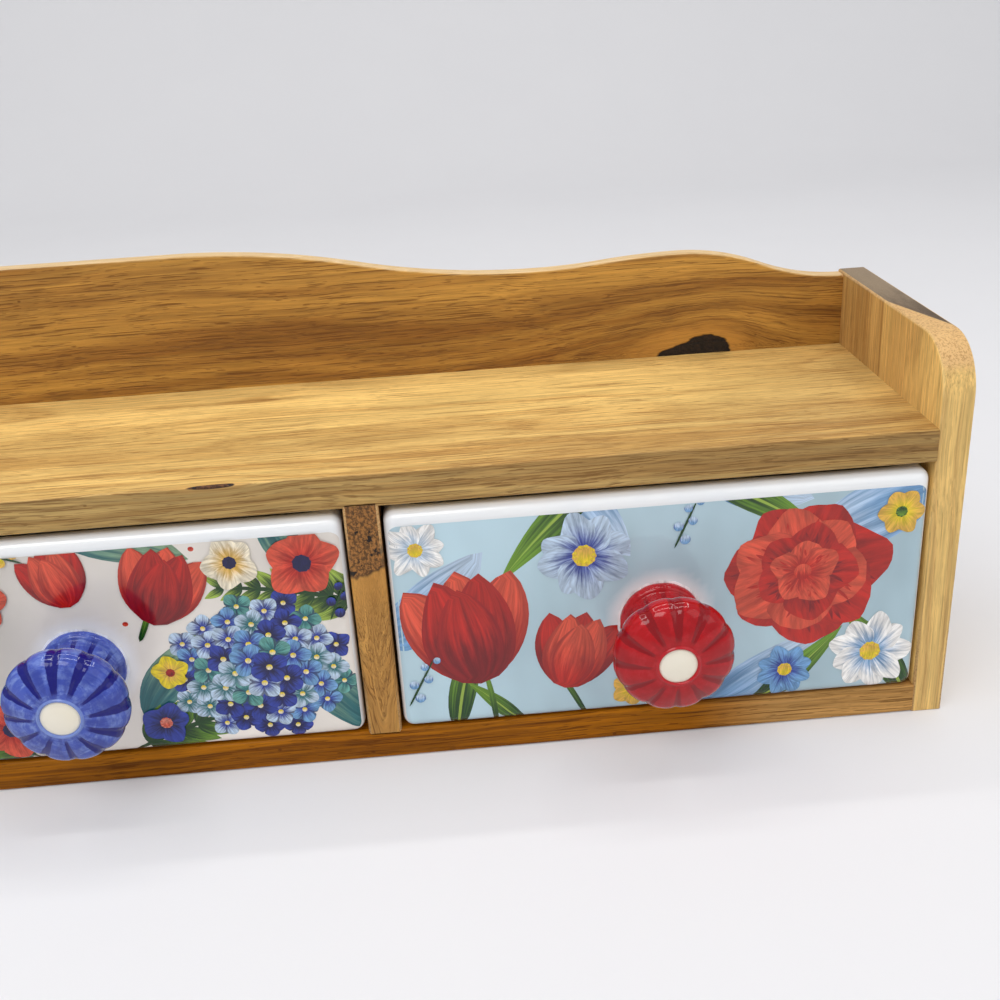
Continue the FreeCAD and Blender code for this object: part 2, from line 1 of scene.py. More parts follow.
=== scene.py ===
"""Looks of the tabletop spice cabinet: oiled boards, glazed painted drawers and fluted knobs.

Everything is in metres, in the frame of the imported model. The drawers pull out towards -Y.
"""

import math
import random

import bmesh
import bpy
from mathutils import Matrix, Vector


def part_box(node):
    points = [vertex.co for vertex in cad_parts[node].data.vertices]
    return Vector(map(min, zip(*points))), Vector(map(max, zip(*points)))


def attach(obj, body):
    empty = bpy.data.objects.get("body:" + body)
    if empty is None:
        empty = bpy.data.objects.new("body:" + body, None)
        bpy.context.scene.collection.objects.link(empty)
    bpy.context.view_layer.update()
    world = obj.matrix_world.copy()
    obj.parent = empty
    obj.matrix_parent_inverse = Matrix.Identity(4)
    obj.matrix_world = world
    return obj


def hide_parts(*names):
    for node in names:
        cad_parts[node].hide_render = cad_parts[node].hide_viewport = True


bl_info = {
    "name": "Spice Cabinet",
    "version": (1, 0, 0),
    "blender": (4, 5, 0),
    "location": "View3D > Sidebar > Cabinet",
    "description": "Makes the boards, drawers, painting and knobs of a tabletop spice cabinet",
    "category": "Object",
}

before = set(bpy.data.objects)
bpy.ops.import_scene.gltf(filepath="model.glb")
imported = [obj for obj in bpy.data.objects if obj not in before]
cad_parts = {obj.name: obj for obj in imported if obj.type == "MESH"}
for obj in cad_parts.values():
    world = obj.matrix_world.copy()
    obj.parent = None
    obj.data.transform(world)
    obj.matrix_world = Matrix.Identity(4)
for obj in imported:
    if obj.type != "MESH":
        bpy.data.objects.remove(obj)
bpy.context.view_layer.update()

MM = 0.001
PLACES = ("left", "middle", "right")
CASE_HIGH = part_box("right_side_panel")[1]
SHELF_LOW, SHELF_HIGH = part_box("top_shelf")
BASE_LOW, BASE_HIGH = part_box("base_board")
BACK_LOW, BACK_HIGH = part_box("back_board")


def srgb(red, green, blue):
    """A colour written in 0-255 values, as the linear values that a shader takes."""
    parts = []
    for part in (red, green, blue):
        share = part / 255
        low = share <= 0.04045
        parts.append(share / 12.92 if low else ((share + 0.055) / 1.055) ** 2.4)
    return (*parts, 1.0)


# ---- Sizes and colours that a user may change ----
def length(name, text, size):
    return bpy.props.FloatProperty(
        name=name, description=text, default=size, min=0.0, unit="LENGTH", subtype="DISTANCE"
    )


def colour(name, text, shade):
    return bpy.props.FloatVectorProperty(
        name=name, description=text, default=shade, size=4, min=0.0, max=1.0, subtype="COLOR"
    )


def factor(name, text, amount, high=1.0):
    return bpy.props.FloatProperty(
        name=name, description=text, default=amount, min=0.0, max=high, subtype="FACTOR"
    )


def power(name, text, watts):
    return bpy.props.FloatProperty(
        name=name, description=text, default=watts, min=0.0, unit="POWER"
    )


class CabinetWood(bpy.types.PropertyGroup):
    arris: length("Arris", "Rounding of the boards' open edges", 0.0007)
    side_corner: length("Side corner", "Radius of the side panels' front top corner", 0.016)
    shelf_light: colour("Shelf, light grain", "Early wood of the shelf", srgb(234, 194, 116))
    shelf_dark: colour("Shelf, dark grain", "Late wood of the shelf", srgb(196, 150, 80))
    back_light: colour("Back, light grain", "Early wood of the back board", srgb(194, 144, 64))
    back_dark: colour("Back, dark grain", "Late wood of the back board", srgb(144, 96, 36))
    base_light: colour("Base, light grain", "Early wood of the base board", srgb(178, 108, 6))
    base_dark: colour("Base, dark grain", "Late wood of the base board", srgb(128, 72, 2))
    side_light: colour("Sides, light grain", "Early wood of the side panels", srgb(238, 199, 124))
    side_dark: colour("Sides, dark grain", "Late wood of the side panels", srgb(222, 178, 106))
    divider_light: colour("Dividers, light grain", "Early wood of the dividers", srgb(200, 148, 74))
    divider_dark: colour("Dividers, dark grain", "Late wood of the dividers", srgb(150, 102, 44))
    end_grain: colour("End grain", "Sawn and rounded ends of the boards", srgb(216, 174, 118))
    knot: colour("Knot", "Dark heart of a knot", srgb(25, 16, 11))
    burr: colour("Burr", "Crumbly heart of the right divider's burr", srgb(118, 82, 42))


class CabinetGlaze(bpy.types.PropertyGroup):
    corner: length("Corner", "Rounding of a drawer's outer corners", 0.0035)
    back_arris: length("Back arris", "Rounding of a drawer's back edges", 0.0015)
    wall: length("Wall", "Thickness of a drawer's sides and back", 0.006)
    front_wall: length("Front wall", "Thickness of a drawer's front", 0.0065)
    floor: length("Floor", "Thickness of a drawer's floor", 0.006)
    inner_corner: length("Inner corner", "Rounding inside a drawer", 0.0055)
    rim: length("Rim", "Rounding of the rim's inner edge", 0.0018)
    margin: length("Margin", "White border round the painting", 0.0011)
    top_margin: length("Top margin", "White border above the painting", 0.0042)
    white: colour("White", "White glaze", srgb(241, 242, 242))
    bisque: colour("Bisque", "Unglazed foot of a drawer", srgb(214, 206, 192))
    left_ground: colour("Left ground", "Ground of the left painting", srgb(176, 212, 196))
    middle_ground: colour("Middle ground", "Ground of the middle painting", srgb(238, 230, 220))
    right_ground: colour("Right ground", "Ground of the right painting", srgb(182, 208, 218))


class CabinetKnobs(bpy.types.PropertyGroup):
    flutes: bpy.props.IntProperty(
        name="Lobes", description="Number of lobes round a knob", default=12, min=4, max=24
    )
    flute_depth: length("Crease depth", "Depth of the creases at the rim", 0.00045)
    left_glaze: colour("Left glaze", "Glaze of the left knob", srgb(96, 168, 160))
    left_pale: colour("Left ridges", "Thin glaze on the left knob", srgb(142, 196, 188))
    left_stroke: colour("Left stroke", "Brush strokes on the left knob", srgb(14, 74, 84))
    middle_glaze: colour("Middle glaze", "Glaze of the middle knob", srgb(70, 90, 182))
    middle_pale: colour("Middle ridges", "Thin glaze on the middle knob", srgb(128, 150, 210))
    middle_stroke: colour("Middle stroke", "Brush strokes on the middle knob", srgb(4, 2, 108))
    right_glaze: colour("Right glaze", "Glaze of the right knob", srgb(176, 4, 14))
    right_pale: colour("Right ridges", "Thin glaze on the right knob", srgb(186, 26, 36))
    right_stroke: colour("Right stroke", "Brush strokes on the right knob", srgb(134, 2, 12))
    button: colour("Button", "Cream button in a knob's face", srgb(246, 240, 226))


class CabinetStage(bpy.types.PropertyGroup):
    floor: colour("Floor", "Floor and backdrop", srgb(214, 213, 214))
    key: power("Key light", "Power of the large lamp", 4.6)
    fill: power("Fill light", "Power of the fill lamp", 1.6)
    top: power("Top light", "Power of the lamp above", 7.5)
    sky: factor("Sky", "Strength of the light from all round", 0.62, 2.0)


# ---- Shader nodes ----
class Tree:
    """Adds nodes to a node tree. A call gives back the new node's chosen output."""

    def __init__(self, tree):
        self.tree = tree

    def feed(self, socket, value):
        if isinstance(value, bpy.types.NodeSocket):
            self.tree.links.new(value, socket)
        elif value is not None:
            socket.default_value = value

    def node(self, kind, inputs=(), **settings):
        made = self.tree.nodes.new(kind)
        for key, value in settings.items():
            setattr(made, key, value)
        pairs = inputs.items() if isinstance(inputs, dict) else enumerate(inputs)
        for key, value in pairs:
            self.feed(made.inputs[key], value)
        return made

    def math(self, operation, *values):
        return self.node("ShaderNodeMath", values, operation=operation).outputs[0]

    def plus(self, first, second):
        return self.math("ADD", first, second)

    def minus(self, first, second):
        return self.math("SUBTRACT", first, second)

    def times(self, first, second):
        return self.math("MULTIPLY", first, second)

    def vector(self, operation, *values):
        made = self.node("ShaderNodeVectorMath", values, operation=operation)
        return made.outputs["Value" if operation == "LENGTH" else "Vector"]

    def stretch(self, vector, x, y, z):
        return self.vector("MULTIPLY", vector, (x, y, z))

    def scaled(self, vector, amount):
        made = self.node("ShaderNodeVectorMath", (vector,), operation="SCALE")
        self.feed(made.inputs["Scale"], amount)
        return made.outputs["Vector"]

    def join(self, x, y, z):
        return self.node("ShaderNodeCombineXYZ", (x, y, z)).outputs[0]

    def split(self, vector):
        return self.node("ShaderNodeSeparateXYZ", (vector,)).outputs

    def noise(self, vector, scale, detail=2.0, roughness=0.5, distortion=0.0):
        values = {"Vector": vector, "Scale": scale, "Detail": detail, "Roughness": roughness}
        values["Distortion"] = distortion
        return self.node("ShaderNodeTexNoise", values).outputs[0]

    def gives(self, out, **values):
        """Feeds a group's outputs, and gives back the group."""
        for key, value in values.items():
            self.feed(out[key], value)
        return self.tree

    def texture(self, vector, scales, *settings):
        """Noise with its own scale along each axis."""
        return self.noise(self.stretch(vector, *scales), 1.0, *settings)

    def span(self, value, low, high, to_low=0.0, to_high=1.0):
        """value from low to high, as a smooth step from to_low to to_high."""
        values = (value, low, high, to_low, to_high)
        kind = "SMOOTHSTEP"
        return self.node("ShaderNodeMapRange", values, interpolation_type=kind).outputs[0]

    def mix(self, share, first, second, blend="MIX"):
        made = self.node("ShaderNodeMix", data_type="RGBA", blend_type=blend)
        # a Mix node keeps its colours in these sockets
        for socket, value in ((0, share), (6, first), (7, second)):
            self.feed(made.inputs[socket], value)
        return made.outputs[2]

    def tinted(self, shade, *tint):
        """A colour times a tint of three parts, or times one value for all three."""
        if len(tint) == 1:
            return self.mix(1.0, shade, self.join(*tint * 3), "MULTIPLY")
        return self.mix(1.0, shade, (*tint, 1.0), "MULTIPLY")

    def attribute(self, name, output="Fac"):
        return self.node("ShaderNodeAttribute", attribute_name=name).outputs[output]


def group(name, inputs, outputs):
    """An empty node group with the named sockets: its tree, its inputs and its output node."""
    tree = bpy.data.node_groups.new(name, "ShaderNodeTree")
    kinds = {"float": "NodeSocketFloat", "vector": "NodeSocketVector", "colour": "NodeSocketColor"}
    for label, kind in inputs:
        tree.interface.new_socket(label, in_out="INPUT", socket_type=kinds[kind])
    for label, kind in outputs:
        tree.interface.new_socket(label, in_out="OUTPUT", socket_type=kinds[kind])
    t = Tree(tree)
    return t, t.node("NodeGroupInput").outputs, t.node("NodeGroupOutput").inputs


# wood tones, as linear values: round a knot and in its cracks, on soaked end grain from dark to
# light, on handled edges, and a painted highlight on faces that look up
GOLD_RING = (0.62, 0.27, 0.045, 1.0)
BURNT = (0.012, 0.007, 0.004, 1.0)
OILY, DRY = (0.095, 0.062, 0.037, 1.0), (0.262, 0.190, 0.118, 1.0)
RUBBED, PAINTED_TOP_LIGHT = (0.86, 0.62, 0.32, 1.0), (0.86, 0.66, 0.38, 1.0)


def timber_group():
    """Sawn and oiled wood. X runs along the grain, in millimetres. Growth rings lie round the
    pith, fibres and pores run with the grain and part round a knot, and sawn ends are speckled."""
    t, given, out = group(
        "Timber",
        [
            ("Place", "vector"), ("Facing", "vector"), ("Edge", "float"),
            ("Pith", "vector"), ("Ring", "float"), ("Light", "colour"), ("Dark", "colour"),
            ("Front", "float"), ("Crest", "float"), ("End", "colour"),
            ("Heart", "colour"), ("Knot", "vector"), ("Knot form", "vector"),
            ("Knot size", "float"), ("Open", "float"),
        ],
        [("Colour", "colour"), ("Roughness", "float"), ("Height", "float")],
    )
    place, size = given["Place"], given["Knot size"]

    # how far it is from the knot, in knot sizes; one side of the knot runs out to a low tail
    from_knot = t.vector("SUBTRACT", place, given["Knot"])
    ripple = t.minus(t.texture(place, (0.12, 0.3, 0.3), 2.0, 0.55), 0.5)
    ahead, inward, rise = t.split(t.vector("MULTIPLY", from_knot, given["Knot form"]))
    tail = t.times(ahead, -0.45)
    sag = t.times(t.math("MAXIMUM", tail, 0.0), 0.36)
    reach = t.vector("LENGTH", t.join(t.math("MAXIMUM", ahead, tail), inward, t.plus(rise, sag)))
    reach = t.plus(reach, t.times(ripple, t.times(size, 0.6)))
    share = t.math("DIVIDE", reach, size)

    # the knot pushes the fibres aside
    swell = t.math("EXPONENT", t.times(t.times(share, share), -0.11))
    aside = t.vector("NORMALIZE", t.stretch(from_knot, 0.0, 1.0, 1.0))
    push = t.times(swell, t.times(size, 2.3))
    grain = t.vector("SUBTRACT", place, t.scaled(aside, push))
    wander = t.minus(t.texture(place, (0.011, 0.02, 0.02), 2.0), 0.5)
    grain = t.vector("ADD", grain, t.scaled((0.0, 1.0, 1.0), t.times(wander, 6.0)))
    x, _, _ = t.split(grain)

    # growth rings, as bands across the distance from the pith
    sway = t.texture(grain, (0.006, 0.03, 0.03), 3.0, 0.55)
    off_pith = t.vector("SUBTRACT", grain, given["Pith"])
    distance = t.vector("LENGTH", t.stretch(off_pith, 0.0, 1.0, 1.0))
    distance = t.plus(distance, t.times(sway, 14.0))
    phase = t.math("DIVIDE", distance, given["Ring"])
    rings = t.noise(t.join(phase, t.times(x, 0.003), 0.0), 1.0, 3.0, 0.62)
    band = t.span(rings, 0.36, 0.66)
    line = t.span(t.math("PINGPONG", t.times(phase, 1.7), 1.0), 0.84, 1.0)

    # fibres, pores and the silky cross bands that oil brings out
    fibre = t.texture(grain, (0.020, 1.25, 1.25), 4.0, 0.66)
    threads = t.texture(grain, (0.055, 3.3, 3.3), 2.0, 0.6)
    long_pores = t.texture(grain, (0.034, 2.3, 2.3), 1.0, 0.4)
    short_pores = t.texture(grain, (0.17, 2.9, 2.9), 1.0, 0.4)
    grouped = t.times(t.minus(band, 0.5), 0.06)
    long_pores = t.span(t.plus(long_pores, grouped), 0.60, 0.66)
    short_pores = t.span(t.plus(short_pores, grouped), 0.63, 0.68, 0.0, 0.8)
    pores = t.times(t.math("MAXIMUM", long_pores, short_pores), given["Open"])
    silk = t.texture(place, (0.06, 0.17, 0.17), 4.0, 0.7, 0.3)
    cloud = t.texture(place, (0.012, 0.05, 0.05), 2.0, 0.5)

    wood = t.mix(band, given["Light"], given["Dark"])
    deep = t.tinted(given["Dark"], 0.50, 0.42, 0.34)
    faint = t.tinted(given["Dark"], 0.70, 0.62, 0.54)
    streak = t.math("MAXIMUM", t.span(cloud, 0.4, 0.65, 0.1, 0.5), t.times(swell, 0.7))
    wood = t.mix(t.times(line, streak), wood, faint)
    value = t.span(fibre, 0.30, 0.70, 0.80, 1.16)
    value = t.times(value, t.span(silk, 0.3, 0.7, 0.96, 1.04))
    value = t.times(value, t.span(cloud, 0.3, 0.7, 0.91, 1.08))
    value = t.times(value, t.span(threads, 0.3, 0.7, 0.91, 1.07))
    wood = t.tinted(wood, value)
    wood = t.mix(t.times(pores, 0.72), wood, deep)

    # pin knots: sparse dark specks
    spots = t.stretch(place, 0.045, 0.062, 0.062)
    specks = t.node("ShaderNodeTexVoronoi", {"Vector": spots, "Scale": 1.0})
    pin = t.span(specks.outputs["Distance"], 0.036, 0.018)
    wood = t.mix(t.times(pin, 0.75), wood, deep)

    # the knot: a golden ring, a dark line and a crumbly heart
    halo = t.times(t.span(share, 2.4, 1.1), t.span(fibre, 0.3, 0.7, 0.5, 0.85))
    wood = t.mix(halo, wood, t.mix(0.5, given["Light"], GOLD_RING))
    bark = t.span(share, 1.10, 0.98)
    crumb = t.texture(place, (0.9, 1.1, 1.1), 4.0, 0.75)
    burl = t.tinted(given["Heart"], 2.3, 2.1, 1.8)
    crack = t.texture(place, (0.35, 0.45, 0.45), 2.0, 0.5)
    bound = t.tinted(given["Heart"], 0.26, 0.21, 0.17)
    cracked = t.mix(t.span(crumb, 0.42, 0.60), t.mix(0.5, bound, given["Heart"]), burl)
    cracked = t.mix(t.span(crack, 0.58, 0.64), cracked, BURNT)
    rind = t.mix(t.span(crack, 0.35, 0.55), bound, given["Heart"])
    wood = t.mix(bark, wood, t.mix(t.span(share, 1.0, 0.93), rind, cracked))

    # sawn ends are speckled and their flats soak up oil; handled edges are pale. Faces that look
    # forwards get painted shade, and faces that look up a painted highlight
    along, forward, upward = t.split(given["Facing"])
    # painted shade: faces that look forwards are darkened
    painted_front_shade = t.span(forward, -0.6, -0.9, 0.0, given["Front"])
    wood = t.mix(painted_front_shade, wood, t.tinted(wood, 0.66, 0.66, 0.68))
    sawn = t.span(t.math("ABSOLUTE", along), 0.40, 0.62)
    speckle = t.noise(place, 1.5, 3.0, 0.7)
    speck = t.tinted(given["End"], 0.66, 0.58, 0.50)
    end = t.mix(t.span(speckle, 0.46, 0.62), given["End"], speck)
    wood = t.mix(t.times(sawn, 0.88), wood, end)
    flat = t.span(t.math("ABSOLUTE", along), 0.975, 0.995)
    stain = t.texture(place, (0.05, 0.07, 0.3), 4.0, 0.6)
    _, depth, across = t.split(place)
    stain = t.plus(t.times(stain, 0.6), t.span(depth, -30.0, 34.0, 0.0, 0.5))
    soaked = t.mix(t.span(stain, 0.24, 0.82), OILY, DRY)
    # the inner front part of a side panel's flat is worn pale, as far as a slanted line
    slant = t.times(t.minus(t.math("ABSOLUTE", across), CASE_HIGH[0] / MM), 3.5)
    kept = t.span(t.plus(depth, slant), -31.5, -28.5)
    wood = t.mix(t.times(flat, kept), wood, soaked)
    rubbed = t.times(given["Edge"], t.span(t.noise(place, 0.16, 3.0), 0.40, 0.62))
    pale = t.mix(0.4, given["Light"], RUBBED)
    wood = t.mix(t.times(rubbed, 0.35), wood, pale)
    # painted highlight: faces that look up are made pale and bright
    crest = t.span(upward, 0.5, 0.9, 0.0, given["Crest"])
    wood = t.mix(crest, wood, t.mix(t.span(fibre, 0.3, 0.7), pale, PAINTED_TOP_LIGHT))

    rough = t.plus(t.span(fibre, 0.3, 0.7, 0.42, 0.54), t.times(pores, 0.2))
    rough = t.plus(rough, t.times(sawn, 0.18))
    height = t.minus(t.times(fibre, 0.5), t.times(pores, 0.7))
    height = t.plus(height, t.times(threads, 0.25))
    height = t.minus(height, t.times(bark, t.span(crumb, 0.3, 0.7, 1.6, 0.4)))
    height = t.minus(height, t.times(pin, 0.8))
    return t.gives(out, Colour=wood, Roughness=rough, Height=height)


def glaze_group():
    """The skin of a fired glaze: slow waves, tiny pinholes and a roughness that varies."""
    outputs = [("Height", "float"), ("Roughness", "float"), ("Pool", "float")]
    t, given, out = group("Glaze skin", [("Place", "vector")], outputs)
    place = given["Place"]
    waves = t.noise(place, 140.0, 2.0, 0.5)
    peel = t.noise(place, 900.0, 1.0, 0.5)
    pits = t.span(t.noise(place, 620.0, 1.0, 0.3), 0.77, 0.83)
    height = t.minus(t.plus(waves, t.times(peel, 0.08)), t.times(pits, 0.25))
    rough = t.span(t.noise(place, 60.0, 3.0), 0.3, 0.7, 0.10, 0.17)
    pool = t.span(t.noise(place, 34.0, 3.0, 0.6), 0.3, 0.7)
    return t.gives(out, Height=height, Roughness=rough, Pool=pool)


def brush_group():
    """One brush stroke of under-glaze paint. Stroke holds the place across (-1 to 1), the place
    along (0 to 1) and a seed; the colours run from the root to the tip in streaks."""
    t, given, out = group(
        "Brush stroke",
        [
            ("Stroke", "vector"), ("Root", "colour"), ("Tip", "colour"), ("Line", "colour"),
            ("Outline", "float"), ("Rib", "float"),
        ],
        [("Colour", "colour")],
    )
    across, along, seed = t.split(given["Stroke"])
    shift = t.times(seed, 37.0)
    hairs = t.noise(t.join(t.times(across, 3.2), t.times(along, 0.9), shift), 1.6, 4.0, 0.65)
    wash = t.noise(t.join(t.times(across, 0.9), along, t.plus(shift, 9.0)), 1.7, 2.0)
    run = t.plus(along, t.times(t.minus(hairs, 0.5), 1.1))
    paint = t.mix(t.span(run, 0.16, 0.86), given["Root"], given["Tip"])
    value = t.times(t.span(hairs, 0.3, 0.7, 0.70, 1.2), t.span(wash, 0.3, 0.7, 0.84, 1.12))
    paint = t.tinted(paint, value)
    side = t.math("ABSOLUTE", across)
    rim = t.plus(side, t.times(t.minus(wash, 0.5), 0.35))
    rim = t.times(t.span(rim, 0.74, 0.86), given["Outline"])
    paint = t.mix(rim, paint, given["Line"])
    thin = t.times(t.minus(1.0, along), 0.13)
    vein = t.span(side, t.plus(thin, 0.05), t.plus(thin, 0.0))
    paint = t.mix(t.times(vein, given["Rib"]), paint, given["Line"])
    return t.gives(out, Colour=paint)


# a knot's place, size and form, where a small number stretches it, and its heart's colour
NO_KNOT = ((9000, 0, 0), 4.0, (0.5, 1.0, 1.0), None)

GROUPS = {}


def shared(t, maker, **values):
    """A node of the group that maker builds, which is built once and shared by all materials."""
    if maker not in GROUPS:
        GROUPS[maker] = maker()
    return t.node("ShaderNodeGroup", values, node_tree=GROUPS[maker]).outputs


def new_material(name):
    """A material with one Principled shader: its Tree and the shader's inputs."""
    made = bpy.data.materials.new(name)
    made.use_nodes = True
    made.node_tree.nodes.clear()
    t = Tree(made.node_tree)
    shader = t.node("ShaderNodeBsdfPrincipled")
    t.node("ShaderNodeOutputMaterial", (shader.outputs[0],))
    return made, t, shader.inputs


def bumped(t, height, distance, strength=1.0):
    values = {"Strength": strength, "Distance": distance, "Height": height}
    return t.node("ShaderNodeBump", values).outputs[0]


def wood_material(name, light, dark, grain, pith, ring, shift=(0, 0, 0), knot=NO_KNOT, front=0.0,
                  crest=0.0, stripes=None, change=None, pores=1.0, sheen=0.35):
    """Oiled wood for one board. grain is "X" or "Z"; pith, shift and the knot's place are in
    millimetres, with their X along the grain. front paints shade on what faces forwards and
    crest paints a highlight on what faces up. Behind stripes, a place along Y, the wood is darker
    and striped. change holds two places along the grain and the tint that the wood slowly takes
    between them: painted shade on the shelf, painted light on the base. pores says how open they
    are, and sheen how much the oil shines."""
    wood = bpy.context.scene.cabinet_wood
    made, t, shader = new_material(name)
    coordinates = t.node("ShaderNodeTexCoord").outputs
    place, facing = t.scaled(coordinates["Object"], 1.0 / MM), coordinates["Normal"]
    if grain == "Z":
        place, facing = (t.join(*reversed(t.split(way)[:])) for way in (place, facing))
    if stripes is not None:
        along, deep, _ = t.split(place)
        depth = t.plus(deep, t.times(t.texture(place, (0.02, 0.0, 0.0), 1.0), 3.0))
        behind = t.span(depth, stripes - 1.0, stripes + 1.0)
        streaks = t.noise(t.join(t.times(along, 0.006), t.times(depth, 0.32), 0.0), 1.0, 3.0, 0.6)
        shade = t.times(behind, t.span(streaks, 0.36, 0.62, 0.25, 0.95))
        before, after = t.span(depth, stripes - 1.4, stripes), t.span(depth, stripes + 2.4, stripes)
        shade = t.times(t.math("MAXIMUM", shade, t.times(before, after)), 0.95)
        light = t.mix(behind, t.tinted(light, 1.10, 1.09, 1.02), light)
        light = t.mix(shade, light, t.tinted(dark, 0.60, 0.52, 0.44))
        dark = t.mix(shade, dark, t.tinted(dark, 0.6, 0.52, 0.46))
    # change paints a slow tint along the grain: painted shade on the shelf, painted light on the
    # base
    if change is not None:
        first, last, tint = change
        share = t.span(t.split(place)[0], first, last)
        light, dark = (t.mix(share, tone, t.tinted(tone, *tint)) for tone in (light, dark))
    knot_place, knot_size, knot_form, heart = knot
    timber = shared(t, timber_group, **{
        "Place": t.vector("ADD", place, shift), "Facing": facing, "Edge": t.attribute("edge"),
        "Pith": pith, "Ring": ring, "Light": light, "Dark": dark, "Front": front, "Crest": crest,
        "End": wood.end_grain, "Heart": heart or wood.knot, "Knot form": knot_form,
        "Knot": tuple(a + b for a, b in zip(knot_place, shift)), "Knot size": knot_size,
        "Open": pores,
    })
    t.feed(shader["Base Color"], timber["Colour"])
    t.feed(shader["Roughness"], timber["Roughness"])
    t.feed(shader["Normal"], bumped(t, timber["Height"], 0.00020, 0.5))
    shader["Specular IOR Level"].default_value = sheen
    return made


def glaze_skin(t, shader, place, distance=0.00005, coat=0.3, gloss=0.4):
    """Feeds the shared glaze skin into a shader, and gives back its pooling mask."""
    skin = shared(t, glaze_group, Place=place)
    t.feed(shader["Roughness"], skin["Roughness"])
    t.feed(shader["Normal"], bumped(t, skin["Height"], distance, 0.5))
    shader["Coat Weight"].default_value = coat
    shader["Coat Roughness"].default_value = 0.05
    shader["Specular IOR Level"].default_value = gloss
    return skin["Pool"]


def white_glaze(foot):
    """White glaze. Below the height foot, faces that look down are unglazed."""
    glaze = bpy.context.scene.cabinet_glaze
    made, t, shader = new_material("drawer_white_glaze")
    coordinates = t.node("ShaderNodeTexCoord").outputs
    place = coordinates["Object"]
    pool = glaze_skin(t, shader, place)
    cool = t.tinted(glaze.white, 0.95, 0.965, 0.985)
    glazed = t.mix(pool, glaze.white, cool)
    _, _, up = t.split(coordinates["Normal"])
    _, _, high = t.split(place)
    bare = t.times(t.span(up, -0.75, -0.9), t.span(high, foot + 0.0008, foot + 0.0004))
    grit = t.noise(place, 900.0, 3.0, 0.7)
    bisque = t.mix(t.span(grit, 0.3, 0.7), glaze.bisque, t.tinted(glaze.bisque, 0.84, 0.8, 0.74))
    t.feed(shader["Base Color"], t.mix(bare, glazed, bisque))
    # the unglazed foot is rougher and has no coat; a Mix node keeps its numbers in sockets 2 and 3
    sockets = {0: bare, 2: shader["Roughness"].links[0].from_socket, 3: 0.85}
    t.feed(shader["Roughness"], t.node("ShaderNodeMix", sockets).outputs[0])
    t.feed(shader["Coat Weight"], t.times(t.minus(1.0, bare), 0.4))
    return made


def painted_glaze():
    """Paint under the drawers' glaze; the colours are the strokes' own attributes."""
    made, t, shader = new_material("drawer_painting")
    coordinates = t.node("ShaderNodeTexCoord").outputs
    glaze_skin(t, shader, coordinates["Object"])
    tones = {part: t.attribute(f"{part.lower()}_tone", "Color") for part in ("Root", "Tip", "Line")}
    brush = shared(t, brush_group, Stroke=t.attribute("stroke", "Vector"), **tones,
                   Outline=t.attribute("outline"), Rib=t.attribute("rib"))
    t.feed(shader["Base Color"], brush["Colour"])
    return made


THIN_GLAZE = (0.84, 0.83, 0.82, 1.0)


def knob_glaze(place_name, body_tone, pale, stroke_tone):
    """A brushed coloured glaze. Strokes of a deeper tone lie in the creases and fade out at the
    rim, and the glaze breaks pale on the ridges, on the ring and at the foot."""
    made, t, shader = new_material(f"knob_{place_name}_glaze")
    place = t.node("ShaderNodeTexCoord").outputs["Object"]
    pool = glaze_skin(t, shader, place, 0.00006, 0.5, 0.14)
    crease, profile = t.attribute("crease"), t.attribute("profile")
    round_it = t.attribute("round", "Vector")
    hairs = t.texture(round_it, (2.6, 2.6, 15.0), 5.0, 0.68, 0.5)
    patches = t.texture(round_it, (3.4, 3.4, 3.0), 3.0, 0.6)
    ragged = t.texture(round_it, (9.0, 9.0, 12.0), 3.0, 0.6)
    deep = t.mix(0.55, body_tone, stroke_tone)
    tone = t.mix(t.span(hairs, 0.42, 0.68, 0.0, 0.8), body_tone, pale)
    tone = t.mix(t.span(patches, 0.40, 0.64, 0.0, 0.75), tone, deep)
    tone = t.mix(t.times(pool, 0.12), tone, deep)
    uneven = t.texture(round_it, (1.5, 1.5, 0.35), 1.0)
    wide = t.plus(crease, t.times(t.minus(ragged, 0.5), 0.35))
    wide = t.plus(wide, t.times(t.minus(uneven, 0.5), 0.9))
    belly = t.times(t.span(profile, 0.38, 0.62), t.span(profile, 0.99, 0.72))
    wide = t.plus(wide, t.times(belly, 0.16))
    stroke = t.span(wide, 0.50, 0.62)
    ragged_rim = t.span(t.plus(profile, t.times(ragged, 0.05)), 0.985, 0.95)
    fade = t.times(t.span(profile, 0.26, 0.36), ragged_rim)
    near_foot = t.times(t.span(profile, 0.16, 0.08), 0.6)
    stroke = t.times(stroke, t.math("MAXIMUM", fade, near_foot))
    tone = t.mix(t.times(stroke, 0.96), tone, stroke_tone)
    tone = t.mix(t.times(t.attribute("ring"), 0.7), tone, pale)
    bare = t.span(t.plus(profile, t.times(ragged, 0.02)), 0.035, 0.018)
    t.feed(shader["Base Color"], t.mix(bare, tone, THIN_GLAZE))
    return made


def button_glaze():
    cream = bpy.context.scene.cabinet_knobs.button
    made, t, shader = new_material("knob_button_glaze")
    place = t.node("ShaderNodeTexCoord").outputs["Object"]
    pool = glaze_skin(t, shader, place, 0.00004)
    t.feed(shader["Base Color"], t.mix(pool, cream, t.tinted(cream, 0.95, 0.92, 0.84)))
    return made


def metal(name, bright, dull, rough):
    """Turned or drawn metal, with fine turning lines, smears and dull spots."""
    made, t, shader = new_material(name)
    place = t.node("ShaderNodeTexCoord").outputs["Object"]
    lines = t.texture(place, (900.0, 9000.0, 900.0), 2.0)
    smear = t.noise(place, 420.0, 4.0, 0.6)
    t.feed(shader["Base Color"], t.mix(t.span(smear, 0.4, 0.7), bright, dull))
    t.feed(shader["Roughness"], t.span(smear, 0.3, 0.75, rough, rough + 0.22))
    t.feed(shader["Normal"], bumped(t, lines, 0.00002, 0.5))
    shader["Metallic"].default_value = 1.0
    return made


